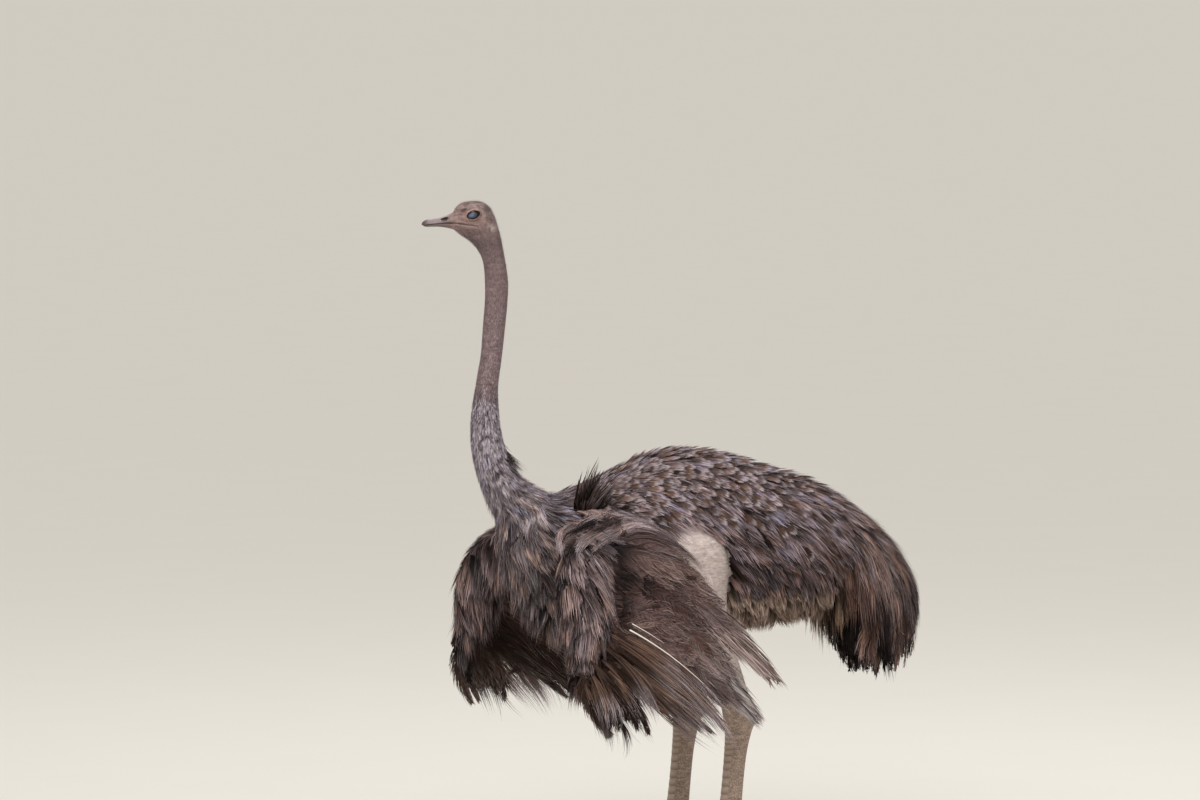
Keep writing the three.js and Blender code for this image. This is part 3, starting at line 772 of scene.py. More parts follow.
def eyeball(side):
    """A sphere round the outward axis, raised where the film covers it. The film's outline is an ellipse
    tilted as the lids are, with a painted highlight in the middle, towards the front and the top, and
    painted shade along its edge."""
    a = np.linspace(0.01, np.pi - 0.01, EYE_RINGS)[:, None]
    b = circle(EYE_SIDES)[None, :]
    forward, height, out = np.sin(a) * np.cos(b), np.sin(a) * np.sin(b), np.cos(a) + 0 * b
    radius = EYE_RADIUS - 0.9
    x, z = forward * radius, height * radius
    c, s = np.cos(LID["tilt"]), np.sin(LID["tilt"])
    long = (x * c - z * s - FILM_PLACE["forward"]) / FILM_PLACE["half_long"]
    high = (x * s + z * c - FILM_PLACE["height"]) / FILM_PLACE["half_high"]
    reach = np.sqrt(long**2 + high**2)
    film = (1 - smooth(0.94, 1.03, reach)) * (out > 0)
    radius = radius + FILM_PROUD * film
    rings = np.stack(
        [EYE_X - forward * radius, side * (EYE_OUT + out * radius), EYE_LEVEL + height * radius], -1
    )
    from_middle = np.hypot(x, z)
    tint = mixed(PUPIL, IRIS, smooth(5.6, 6.2, from_middle))
    tint = mixed(tint, EYE_BROWN, smooth(10.5, 11.5, from_middle))
    lit = reach - FILM_LIT[0] * long - FILM_LIT[1] * high
    veil = mixed(FILM * FILM_HIGHLIGHT_GAIN, FILM_EDGE_SHADE, smooth(-0.9, 1.1, lit))
    # painted shade: a dark ring just inside the film's edge
    tint = mixed(tint, PUPIL, film * smooth(0.86, 0.97, reach))
    return tinted_tube(turned(rings), mixed(tint, veil, film * (1 - smooth(0.84, 0.94, reach))))


# A live eye is wet, so it shines almost like glass over its own colours, and the film is finely veined.
wet = new_material("wet_eye")
wet_where = add_node(wet, "ShaderNodeTexCoord").outputs["Object"]
veins = add_node(wet, "ShaderNodeTexNoise", {"Scale": 260.0, "Detail": 3.0}, Vector=wet_where).outputs[0]
shader(wet, Base_Color=shaded_tint(wet, veins, 0.35, 0.65, 0.86, 1.1), Roughness=0.16, IOR=1.376)
for side, word in SIDES_OF.items():
    eye = make_piece(f"{word}_eyeball", *eyeball(side), wet)
    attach(eye, "root")
    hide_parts(f"{word}_eye")

# ---- Bill ----
# The bill is horn grown over bone: flat and broad, with a slit nostril half way along it, a nail at the tip
# and a dark edge where the two halves meet. It is pink-brown, and darker towards the nail, with a painted
# highlight along the top of the upper half, and painted shade under the lower half and in the nostril. A row
# is the distance forward of the eye, the top, the bottom and half the width.
UPPER_BILL = [
    [50, 9, -24, 26.5],
    [57, 5, -24, 25],
    [76, -4, -24, 23],
    [94, -10, -25.5, 20.5],
    [112, -12.5, -27, 18.5],
    [126, -14.5, -28.6, 15.5],
    [134, -17.8, -29.9, 11],
    [139, -21.5, -30.2, 6],
    [141.5, -26.5, -29.6, 0.9],
]
LOWER_BILL = [
    [50, -23, -43, 24],
    [57, -23, -41, 23.5],
    [76, -23, -36.5, 21],
    [94, -24.2, -34.4, 18.4],
    [110, -25.8, -34.2, 16],
    [122, -27.2, -34.6, 13.5],
    [132, -28.2, -34.0, 8.5],
    [137.5, -29.6, -31.4, 1.2],
]
BILL_SLIM = 0.3
BILL_RINGS, BILL_SIDES = 100, 72
NOSTRIL = {"forward": 79, "height": -12.0, "half_long": 12.5, "half_high": 4.0, "tilt": -0.24, "deep": 7.5}
HORN_PINK = colour("#7b6460")
HORN_GREY = colour("#83777b")
HORN_HIGHLIGHT = colour("#ad9d9f")
# a dark colour both for the horn's darker nail and edge and for painted shade
HORN_DARK_AND_SHADE = colour("#3d2c27")
# painted shade in the nostril's hollow
NOSTRIL_SHADE = colour("#17100f")
BILL_FOOT = FACE_PINK * 0.85


def bill_half(rows, upper):
    """Rings along one half of the bill: an ellipse squared towards the mouth by powers of the cosine and the
    sine. The nostril is sunk in by a smooth step with a bell curve round it, and the nail is raised."""
    forward, top, low, half = (v[:, None] for v in along(rows, np.linspace(0, 1, BILL_RINGS) ** 0.9).T)
    a = circle(BILL_SIDES)[None, :]
    way = 1 if upper else -1
    flat = np.sign(np.cos(a)) * np.abs(np.cos(a)) ** np.where(np.cos(a) * way < 0, 0.35, 1.0)
    curve = np.sign(np.sin(a)) * np.abs(np.sin(a)) ** 0.86
    wide = half * curve * (1 - way * BILL_SLIM * np.cos(a))
    high = (top + low) / 2 + (top - low) / 2 * flat
    slot = NOSTRIL
    forward = forward + 0 * wide
    c, s = np.cos(slot["tilt"]), np.sin(slot["tilt"])
    dx, dz = forward - slot["forward"], high - slot["height"]
    reach = np.hypot((dx * c + dz * s) / slot["half_long"], (dz * c - dx * s) / slot["half_high"])
    hole = (1 - smooth(0.55, 1.05, reach)) * upper
    lip = np.exp(-(((reach - 1.35) / 0.25) ** 2)) * upper
    nail = smooth(114, 121, forward) * (1 - smooth(128, 139, forward))
    step = (0.5 * nail - 0.4 * np.exp(-(((forward - 114) / 3) ** 2))) * upper
    out = np.stack([0 * wide, np.sin(a) + 0 * wide, 0 * wide], -1)
    rise = np.stack([0 * wide, 0.3 * np.sin(a) + 0 * wide, np.cos(a) + 0 * wide], -1)
    rings = np.stack([EYE_X - forward, wide, EYE_LEVEL + high], -1)
    rings = rings + rise * (step * (np.cos(a) * way > -0.2))[..., None]
    rings = rings + out * (0.8 * lip - slot["deep"] * hole)[..., None]
    tint = mixed(HORN_PINK, HORN_GREY, smooth(60, 100, forward) * 0.6)
    # painted highlight along the top of the upper half
    ridge = smooth(0.55, 0.95, way * np.cos(a)) * (1 - smooth(126, 137, forward)) * upper
    tint = mixed(tint, HORN_HIGHLIGHT, 0.75 * ridge)
    tint = mixed(BILL_FOOT, tint, smooth(50, 68, forward - 5 * np.cos(a)))
    tint = mixed(tint, HORN_DARK_AND_SHADE, 0.75 * smooth(120, 138, forward))
    edge = np.exp(-(((high - (low if upper else top)) / (1.9 if upper else 2.6)) ** 2))
    tint = mixed(tint, HORN_DARK_AND_SHADE, 0.85 * edge)
    fold = np.exp(-(((high + 18.5 + 0.05 * (forward - 60)) / 1.1) ** 2)) * (1 - smooth(76, 100, forward))
    tint = mixed(tint, HORN_DARK_AND_SHADE, 0.6 * fold * upper)
    # painted shade under the lower half
    under = smooth(-0.3, 0.6, -np.cos(a)) * smooth(50, 75, forward) * (not upper)
    tint = mixed(tint, HORN_DARK_AND_SHADE, 0.8 * under)
    # painted shade in the nostril's hollow
    return tinted_tube(turned(rings), mixed(tint, NOSTRIL_SHADE, smooth(0.15, 0.6, hole)))


# Horn grows in thin sheets: faint long streaks under a dull polish, with fine wear across it. The claws
# and the legs' scutes are of the same horn.
horn = new_material("bill_horn")
horn_where = add_node(horn, "ShaderNodeTexCoord").outputs["Object"]
horn_way = add_node(horn, "ShaderNodeMapping", {"Scale": (0.25, 1.0, 1.6)}, Vector=horn_where).outputs[0]
streaks = add_node(horn, "ShaderNodeTexNoise", {"Scale": 330.0, "Detail": 5.0}, Vector=horn_way).outputs[0]
horn_relief = add_node(horn, "ShaderNodeBump", {"Strength": 0.3, "Distance": 0.001}, Height=streaks)
horn_tone = shaded_tint(horn, streaks, 0.3, 0.7, 0.8, 1.16)
shader(horn, Base_Color=horn_tone, Normal=horn_relief.outputs[0], Roughness=0.42, IOR=1.54)
for name, rows, upper in (("upper_bill", UPPER_BILL, True), ("lower_bill", LOWER_BILL, False)):
    half_bill = make_piece(f"{name}_horn", *bill_half(rows, upper), horn)
    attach(half_bill, "root")
    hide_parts(name)

# ---- Claws ----
# Only the inner toe bears a claw: a stout, flattened nail of dark horn grown over its last bone, worn pale
# and blunt. A row is the distance along the toe, the middle's height, half the height and half the width.
CLAW = [
    [126, 22, 14, 15],
    [140, 22, 14, 16],
    [150, 21, 13, 15],
    [172, 15, 9, 11],
    [186, 9, 6.4, 7.5],
    [192, 7, 3.5, 4],
]
CLAW_RINGS, CLAW_SIDES = 60, 40
CLAW_HORN = colour("#3a302c")
CLAW_WORN = colour("#8b7b6e")


def claw(side):
    """Rings along the nail: ellipses flattened underneath, with faint growth ridges across them."""
    forward, across = toe_ways(side, THIRD_TOE["turn"])
    distance, height, tall, wide = (v[:, None] for v in along(CLAW, np.linspace(0, 1, CLAW_RINGS)).T)
    a = circle(CLAW_SIDES)[None, :]
    ridge = 1 + 0.012 * np.sin(distance * 1.6)
    high = height + tall * ridge * np.where(np.cos(a) < 0, 0.82, 1) * np.cos(a)
    start = np.array([FOOT_X + LEG_STEP[side], side * FOOT_OUT, 0])
    rings = start + distance[..., None] * forward + (wide * ridge * np.sin(a))[..., None] * across
    rings[..., 2] = high
    worn = smooth(150, 190, distance) * (0.4 + 0.6 * smooth(0, 1, np.cos(a)))
    return tinted_tube(rings, mixed(CLAW_HORN, CLAW_WORN, worn * 0.8))


for side, word in SIDES_OF.items():
    nail = make_piece(f"{word}_claw_horn", *claw(side), horn)
    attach(nail, "root")
    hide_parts(f"{word}_claw")

# ---- Scutes of the legs ----
# Broad horny plates overlap like tiles down the front of each tarsus and over the tops of the toes. Each
# one is a curved strip, thickest at its lower edge, grown on the skin.
SCUTE_THICK = 1.5
# The section of a scute, along the form by its own width and up by its thickness.
SCUTE_PROFILE = np.array([[0.0, -0.6], [0.04, 0.25], [0.5, 0.75], [1.04, 1.0], [1.1, 0.2], [1.0, -0.6]])
SHIN = {"ends": (0.66, 0.972), "count": 22, "half_angle": 0.85, "facing": np.pi}
TOE_TOPS = [(THIRD_TOE, 15), (FOURTH_TOE, 10)]
SCUTE_HORN = colour("#b19c8b")
SCUTE_DARK = colour("#6d5a4e")


def scutes(surface, ends, count, half_angle, facing):
    """Plates across a form from ends[0] to ends[1] along it, as points, triangles and colours. Each is a
    tube whose section is its own profile along the form, run round the form, with corners 1 - |s|^5 thin."""
    plates = []
    edges = np.linspace(*ends, count + 1)
    s = np.linspace(-1, 1, 13)[:, None]
    corner = 1 - np.abs(s) ** 5
    along_it = 0.5 + (SCUTE_PROFILE[None, :, 0] - 0.5) * (0.72 + 0.28 * corner)
    rise = SCUTE_PROFILE[None, :, 1] * SCUTE_THICK * (0.35 + 0.65 * corner)
    tint = mixed(SCUTE_HORN, SCUTE_DARK, 0.75 * smooth(0.8, 1.08, along_it) + 0.3 * np.abs(s) ** 3)
    for low, high in zip(edges, edges[1:]):
        place = low + (high - low) * along_it
        plates.append(tinted_tube(surface(place, facing + half_angle * s + 0 * place, rise), tint))
    return plates


for side, word in SIDES_OF.items():

    def shin(place, angle, rise):
        """This leg, raised."""
        return knuckles(angle, leg(place, angle, side, -rise))

    plates = scutes(shin, **SHIN)
    for kind, count in TOE_TOPS:

        def toe_top(place, angle, rise):
            """This toe, raised."""
            return toe_point(place, angle, kind, side, rise)

        plates += scutes(toe_top, (0.2, 0.97), count, 1.0, 0.0)
    points, faces, tints = zip(*plates)
    starts = np.cumsum([0] + [len(made) for made in points])
    faces = [plate + start for plate, start in zip(faces, starts)]
    scale = make_piece(f"{word}_scutes", np.vstack(points), np.vstack(faces), np.vstack(tints), horn)
    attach(scale, "root")

# ---- Down of the head and neck ----
# The head and upper neck bear only bristly down, keratin hairs under 20 mm long rooted in the skin. Pale
# and dark ones lie side by side along it, and darker ones stand up on the crown.

# An ostrich's feathers have loose barbs that never zip together, so each one is a shaft with a row of
# separate barbs on either side. All feathers of a kind share one cut and are bent and shaded singly.


def cut(root, tip, half, steps, bow=0.0, aspect=0.2):
    """Tapered locks on a flat feather: x across from -1 to 1 and y along from 0 to 1, with x as long as
    aspect of y. A lock runs from root to tip, bowed as 4s(1-s), with half width half * (1 - s^2)."""
    root, tip = np.asarray(root, float), np.asarray(tip, float)
    count = len(root)
    half = np.broadcast_to(half, count)[:, None, None]
    scale = np.array([aspect, 1.0])
    s = (np.arange(steps) / steps)[None, :, None]
    run = tip - root
    reach = np.linalg.norm(run * scale, axis=1)[:, None]
    square = (np.stack([-run[:, 1], run[:, 0] * aspect], -1) / reach / scale)[:, None]
    middle = root[:, None] + run[:, None] * s + square * (bow * reach)[..., None] * 4 * s * (1 - s)
    spread = square * half * (1 - s**2)
    pairs = np.stack([middle - spread, middle + spread], 2).reshape(count, 2 * steps, 2)
    flat = np.concatenate([pairs, tip[:, None]], 1).reshape(-1, 2)
    k = 2 * np.arange(steps - 1)
    end = 2 * steps - np.array([[2, 1, 0]])
    faces = np.concatenate([np.stack([k, k + 1, k + 3], -1), np.stack([k, k + 3, k + 2], -1), end])
    faces = (faces[None] + (np.arange(count) * (2 * steps + 1))[:, None, None]).reshape(-1, 3)
    a, b, c = (flat[faces[:, i]] for i in range(3))
    turn = (b - a)[:, 0] * (c - a)[:, 1] - (b - a)[:, 1] * (c - a)[:, 0]
    faces[turn < 0] = faces[turn < 0][:, ::-1]
    return {
        "x": flat[:, 0],
        "y": flat[:, 1],
        "out": np.tile(np.append(np.repeat(s.ravel(), 2), 1.0), count),
        "lock": np.repeat(np.arange(count), 2 * steps + 1),
        "faces": faces,
        "shaft": np.zeros(len(flat)),
    }


def merged(*cuts):
    """Several cuts as one."""
    made = {key: np.concatenate([c[key] for c in cuts]) for key in ("x", "y", "out", "shaft")}
    locks, vertices, lock_list, face_list = 0, 0, [], []
    for c in cuts:
        lock_list.append(c["lock"] + locks)
        face_list.append(c["faces"] + vertices)
        locks += c["lock"].max() + 1
        vertices += len(c["x"])
    return made | {"lock": np.concatenate(lock_list), "faces": np.concatenate(face_list)}


def vane(barbs, sweep, steps=2, shaft=0.008, first=0.06, fill=1.3, aspect=0.2, bow=0.08, ragged=0.0):
    """A feather cut: pairs of barbs leave the shaft and sweep forward to an outline of two half ellipses,
    with one barb over the tip, and the shaft itself. Barbs fall short of the outline by chance, up to
    ragged of their length."""
    y = np.linspace(first, 0.93, barbs)
    end = np.minimum(y + sweep * (1 - 0.5 * smooth(0.7, 0.93, y)), 0.995)
    outline = np.sqrt(1 - ((end - 0.6) / np.where(end < 0.6, 0.66, 0.4)) ** 2)
    half = (y[1] - y[0]) * fill / 2
    locks = []
    for way in (-1, 1):
        part = 1 - ragged * np.random.default_rng(barbs + way).random(barbs)
        tips = np.stack([way * outline * part, y + (end - y) * part], -1)
        locks.append(cut(np.stack([0 * y, y], -1), tips, half, steps, -bow * way, aspect))
    top = cut([[0, 0.86]], [[0, 1]], half, steps, aspect=aspect)
    quill = cut([[0, 0]], [[0, 0.95]], shaft, 3, aspect=aspect)
    quill["shaft"] += 1
    quill["out"] *= 0
    return merged(*locks, top, quill)


def lock_places(locks):
    """Places from -1 to 1 across a feather, the outermost first so that the middle locks lie on top."""
    x = np.linspace(-1, 1, locks)
    return x[np.argsort(np.abs(x))[::-1]]


def hackle(locks, steps=2, spread=0.9, half=0.03, aspect=0.14):
    """A shaggy feather: locks side by side from one root, of unequal length, fanned a little."""
    x = lock_places(locks)
    odd = np.arange(locks) % 2
    length = 1 - 0.25 * np.abs(x) - 0.14 * odd
    root = np.stack([x * 0.35, 0.22 * np.abs(x) * odd], -1)
    return cut(root, np.stack([x * spread, length], -1), half, steps, aspect=aspect)


def rounded(locks, steps=3, half=0.028, aspect=0.22):
    """A broad round-ended feather: locks side by side from its root to the outline of half an ellipse."""
    x = lock_places(locks)
    root = np.stack([x * 0.45, 0.3 * np.abs(x)], -1)
    return cut(root, np.stack([x * 0.97, 0.55 + 0.45 * np.sqrt(1 - x**2)], -1), half, steps, aspect=aspect)


def laid(surface, u, v, length, flow, depths, lift, steps=4, outward=1, free_from=0.2):
    """Paths of feathers from their roots along a form. Each step of a path follows flow, held to the form's
    own plane; under the belly it turns to hang straight down. It rises from the first depth under the coat's
    face to the second, and its tip stands out by lift. Gives the paths and the form's outward normals."""
    u, v = u.astype(float).copy(), v.astype(float).copy()
    hang = np.zeros((len(u), 3))
    path, normals = [], []
    small = 0.004
    for k in range(steps + 1):
        share = k / steps
        inset = depths[0] + (depths[1] - depths[0]) * share**0.8
        here = surface(u, v, inset)
        by_u = (surface(u + small, v, inset) - surface(u - small, v, inset)) / (2 * small)
        by_v = (surface(u, v + small, inset) - surface(u, v - small, inset)) / (2 * small)
        normal = unit(np.cross(by_u, by_v)) * outward
        way = flow(u, v, here, by_u)
        way = unit(way - normal * (way * normal).sum(-1, keepdims=True))
        free = smooth(free_from, free_from + 0.5, -normal[:, 2])[:, None]
        level = unit(normal * [1, 1, 0.0])
        face = unit(normal * (1 - free) + level * free)
        path.append(here + hang + face * (lift * share**2)[:, None])
        normals.append(face)
        stride = (length / steps)[:, None]
        hang = hang + free * stride * np.array([0, 0, -1.0])
        way = way * (1 - free) * stride
        uu, uv, vv = ((a * b).sum(-1) for a, b in ((by_u, by_u), (by_u, by_v), (by_v, by_v)))
        wu, wv = (way * by_u).sum(-1), (way * by_v).sum(-1)
        whole = uu * vv - uv**2 + 1e-9
        u += (vv * wu - uv * wv) / whole
        v += (uu * wv - uv * wu) / whole
    return np.stack(path, 1), np.stack(normals, 1)


def clumped(path, rng, leaders, pull):
    """Draws the free ends of feathers together: each path leans towards the nearest of some leading paths,
    by pull times the square of the way along. Gives the paths and a chance shared by each clump."""
    lead = rng.choice(len(path), leaders, replace=False)
    apart = np.linalg.norm(path[:, None, 1] - path[lead][None, :, 1], axis=-1)
    nearest = apart.argmin(1)
    share = np.linspace(0, 1, path.shape[1])[None, :, None] ** 2
    return path + (path[lead[nearest]] - path) * pull * share, rng.normal(size=leaders)[nearest]


PLASTIC_STEPS = (0.7548776662466927, 0.5698402909980532)  # 1/p and 1/p^2, where p^3 = p + 1


def scattered(surface, count, u_range, v_range, seed, weight=None):
    """Roots spread evenly over a form's area: multiples of two steps, modulo 1, fill a square evenly, and
    the square is stretched so that each patch of the form gets its share, times weight."""
    rng = np.random.default_rng(seed)
    us = np.linspace(*u_range, 90)
    vs = np.linspace(*v_range, 60)
    grid = surface(us[:, None], vs[None, :], 0 * us[:, None] + 0 * vs)
    cross = np.cross(np.gradient(grid, axis=0), np.gradient(grid, axis=1))
    area = np.linalg.norm(cross, axis=-1)
    if weight is not None:
        area = area * weight(us[:, None], vs[None, :])
    rows = np.cumsum(area.sum(1))
    rows = (rows - rows[0]) / (rows[-1] - rows[0])
    i = np.arange(count)
    a, b = ((0.5 + i * step) % 1 for step in PLASTIC_STEPS)
    u = np.interp(a, rows, us)
    k = np.clip(np.searchsorted(us, u), 1, len(us) - 1)
    columns = np.cumsum(area, 1)
    columns = (columns - columns[:, :1]) / (columns[:, -1:] - columns[:, :1] + 1e-12)
    line = columns[k]
    j = np.clip((line < b[:, None]).sum(1), 1, len(vs) - 1)
    low, high = line[i, j - 1], line[i, j]
    v = vs[j - 1] + (vs[1] - vs[0]) * np.clip((b - low) / (high - low + 1e-12), 0, 1)
    wobble = rng.normal(size=(2, count)) * 0.25
    cell = np.sqrt(1 / count)
    return u + wobble[0] * cell * (u_range[1] - u_range[0]), v + wobble[1] * cell * (v_range[1] - v_range[0])


BAKE_PATCH = 0.003  # the width of a feather's patch on the OFBake map


def dress(name, pattern, path, normals, half_width, tint, root_uv, rng, tips=None, pale=None,
          shaft_tint=None, ruffle=1.0, droop=0.12, root_shade=(1.0, 0.18), strayed=0.22, rim=0.45):
    """One mesh of many feathers of a cut. A vertex lies at the path's place y, moved x half widths to the
    side and out by a share of the half width; each lock strays by its own chance. Its colour is the
    feather's, one for all or one for each node of the path, with painted shade darkening it towards the
    root, and strayed by lock; its outer part turns to the tips' colour by pale."""
    count, nodes = path.shape[:2]
    x, y, out, lock = (pattern[key] for key in ("x", "y", "out", "lock"))
    weights = along(np.eye(nodes), y)
    centre = np.einsum("vk,fkc->fvc", weights, path)
    way = unit(np.einsum("vk,fkc->fvc", weights, unit(np.gradient(path, axis=1))))
    normal = unit(np.einsum("vk,fkc->fvc", weights, normals))
    side = unit(np.cross(way, normal))
    length = np.linalg.norm(np.diff(path, axis=1), axis=-1).sum(1)[:, None]
    chance = rng.normal(size=(count, lock.max() + 1, 4))[:, lock]
    across = x + 0.10 * ruffle * chance[..., 0] * out
    back = -0.05 * ruffle * np.abs(chance[..., 1]) * out**2
    proud = (0.14 * ruffle * chance[..., 2] * out - droop * x**2) * (1 - pattern["shaft"])
    proud = proud + 0.03 * pattern["shaft"]
    width = np.broadcast_to(half_width, count)[:, None]
    points = centre + side * (across * width)[..., None] + way * (back * length)[..., None]
    points = points + normal * (proud * width)[..., None]
    # painted shade, darkest at the root
    shade = root_shade[1] + (1 - root_shade[1]) * smooth(0.0, root_shade[0], y)
    shade = shade * (1 + strayed * np.clip(chance[..., 3], -2.2, 2.2))
    colours = tint[:, None] if tint.ndim == 2 else np.einsum("vk,fkc->fvc", weights, tint)
    colours = colours * shade[..., None]
    if tips is not None:
        edge = smooth(rim, 1.0, out) * smooth(0.4, 0.8, y)
        edge = edge * np.broadcast_to(pale, count)[:, None] * (1 + 0.5 * chance[..., 3])
        colours = mixed(colours, tips, np.clip(edge, 0, 1))
    if shaft_tint is not None:
        colours = mixed(colours, shaft_tint, 0.8 * pattern["shaft"] * smooth(0.1, 0.3, y) + 0 * shade)
    faces = (pattern["faces"][None] + (np.arange(count) * len(x))[:, None, None]).reshape(-1, 3)
    colours = np.clip(colours, 0.002, 1).reshape(-1, 3)
    piece = make_piece(name, points.reshape(-1, 3), faces, colours, plumage)
    corners = faces.ravel()
    low, high = root_uv.min(0), root_uv.max(0)
    place = 0.01 + 0.98 * (root_uv - low) / np.maximum(high - low, 1e-9)
    patch = BAKE_PATCH * np.stack([0.5 * np.clip(x, -1, 1), y - 0.5], -1)
    vane_uv = np.tile(np.stack([0.5 + 0.5 * x, y], -1), (count, 1))
    bake_uv = (place[:, None] + patch[None]).reshape(-1, 2)
    for layer_name, uv in (("Vane", vane_uv), ("OFBake", bake_uv)):
        layer = piece.data.uv_layers.new(name=layer_name)
        layer.data.foreach_set("uv", uv[corners].astype(np.float32).ravel())
    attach(piece, "root")
    return piece


# Keratin barbs scatter light: no gloss, a faint silky sheen, and lines of barbs across each lock.
plumage = new_material("feather_barbs")
vane_map = add_node(plumage, "ShaderNodeUVMap", {"uv_map": "Vane"}).outputs[0]
barb_way = add_node(plumage, "ShaderNodeMapping", {"Scale": (26.0, 5.0, 1.0)}, Vector=vane_map).outputs[0]
barbs = add_node(plumage, "ShaderNodeTexNoise", {"Scale": 1.0, "Detail": 4.0}, Vector=barb_way).outputs[0]
barb_tone = shaded_tint(plumage, barbs, 0.3, 0.7, 0.7, 1.25)
shader(plumage, Base_Color=barb_tone, Roughness=0.85, Specular_IOR_Level=0.12)


def body_uv(u, v):
    """A root's place on the unwrapped body: along it and round it."""
    return np.stack([u / (len(RIBS) - 1), (v + np.pi) / (2 * np.pi)], -1)


DOWNWARD = np.array([0, 0, -1.0])
# How far the coat's lie turns down at places along the ribs.
HANG = np.array([[0, 0], [17, 0.0], [19, 0.35], [22, 0.8], [24, 1.0], [28, 1.1], [31, 0.5], [34, 0.3]])


def coat_flow(u, v, here, by_u):
    """The lie of the coat: back along the body, and down by more on the flanks of the trunk."""
    return unit(by_u) + np.interp(u, *HANG.T)[:, None] * DOWNWARD


def over_thigh(path, margin=3.0):
    """Feathers that start on the bare thigh or reach far over it are left out, and the others are lifted
    onto its skin. Gives the paths and which of them to keep."""
    x, y, z = np.moveaxis(path, -1, 0)
    leg_x, _, out, depth, width = leg_at(z)
    keep = np.ones(len(path), bool)
    made = path.copy()
    for side in (LEFT, RIGHT):
        dx = (x - leg_x - LEG_STEP[side]) / (depth + 2)
        high = out + (width + 1) * np.sqrt(np.maximum(1 - dx**2, 0))
        inside = (np.abs(dx) < 1) & (y * side > 0) & (np.abs(y) < high) & (z > 560) & (z < 985)
        keep &= ~inside[:, 0] & (inside[:, 1:].sum(1) < path.shape[1] * 0.55)
        rise = np.linspace(0.5, 1.5, path.shape[1])[None] * margin
        made[..., 1] = np.where(inside, side * (high + rise), made[..., 1])
    return made, keep


# Each zone of the coat has a dark, a middle and a pale colour, which run into each other over the body. The
# gain makes up for the light that one loose feather takes from the next.
COAT_GAIN = np.array([1.1, 1.02, 0.99])
ZONES = {
    name: np.array([colour(code) for code in codes]) * COAT_GAIN
    for name, codes in {
        "neck": ("#3d3438", "#857c84", "#d2cfdc"),
        "breast": ("#0c0706", "#40322d", "#857573"),
        "back": ("#291e1c", "#725f5a", "#b4aabb"),
        "flank": ("#0f0806", "#43312a", "#78666a"),
        "belly": ("#6f5e51", "#a08c7c", "#c4b3a4"),
        "rump": ("#1d1310", "#544139", "#8b766f"),
        "tail": ("#060302", "#38261e", "#755e54"),
        "blackest": ("#060404", "#130f0d", "#332a26"),
        "wing": ("#140c0c", "#4f3d39", "#93807e"),
        "wing_dark": ("#0d0706", "#3b2c25", "#776257"),
        "strand": ("#281d1a", "#7a6863", "#c4b7ba"),
    }.items()
}
FRINGE = colour("#c5c0c8") * COAT_GAIN
WING_PALE = colour("#b6adab") * COAT_GAIN
SHAFT_WHITE = colour("#f0e8dd")


def toned(zones, tone):
    """The colour of zones read at tone: dark at 0, middle at a half and pale at 1."""
    tone = np.clip(tone, 0, 1)
    dark, middle, pale = np.moveaxis(zones, -2, 0)
    low = mixed(dark, middle, np.minimum(tone * 2, 1))
    return mixed(low, pale, np.maximum(tone * 2 - 1, 0))


def weathered(tint, wear):
    """Feathers bleached unevenly: a clump turns browner where wear is above 0 and bluer below it."""
    wear = np.clip(wear, -1.5, 1.7).reshape(-1, *[1] * (tint.ndim - 1))
    return tint * (1 + wear * np.array([0.1, 0.0, -0.14]))


def body_zones(u, v):
    """The three colours of the coat at a place of the body: grey neck, brown back and breast, dark flanks,
    and a tail that is black underneath as painted shade."""
    across = np.abs(v)
    flank = smooth(0.7, 1.7, across)[:, None]
    zones = mixed(ZONES["back"], ZONES["flank"], flank)
    zones = mixed(zones, ZONES["breast"], flank * (1 - smooth(21.5, 24.5, u))[:, None])
    zones = mixed(zones, ZONES["rump"], smooth(26, 30, u)[:, None] * (1 - 0.5 * flank))
    zones = mixed(zones, ZONES["tail"], smooth(30.5, 33.2, u)[:, None])
    # painted shade: black under the tail
    zones = mixed(zones, ZONES["blackest"], (smooth(30.5, 32.5, u) * smooth(1.3, 2.0, across))[:, None])
    under = smooth(2.0, 2.3, across) * smooth(24, 25.5, u) * (1 - smooth(29.5, 30.5, u))
    zones = mixed(zones, ZONES["belly"], under[:, None])
    return mixed(zones, ZONES["neck"], (1 - smooth(16.8, 20.6, u))[:, None])


BRISTLE = cut([[-0.3, 0], [0.3, 0.05]], [[-0.8, 0.9], [0.7, 1]], 0.045, 2, aspect=0.1)
DOWN_COUNT = 23000


def face_bareness(u, v):
    """How bare the face is at a root of down: wholly on the lids and the mouth's foot, less beyond them."""
    place = straight_body(u, v)
    forward, height = EYE_X - place[:, 0], place[:, 2] - EYE_LEVEL
    lids = (1 - smooth(1.35, 2.6, almond(forward, height))) * (np.abs(place[:, 1]) > 20) * (u < NECK_TOP)
    return np.maximum(1.15 * lids, smooth(22, 55, forward) * (1 - 0.4 * smooth(0.2, 0.8, np.cos(v))))


def down_weight(u, v):
    """Down is closest on the head, thin half way down the neck, and thickens again over the feathers."""
    return 0.4 + 1.3 * (1 - smooth(5, 10.5, u)) + 0.5 * smooth(12.5, 14.5, u) + 0 * v


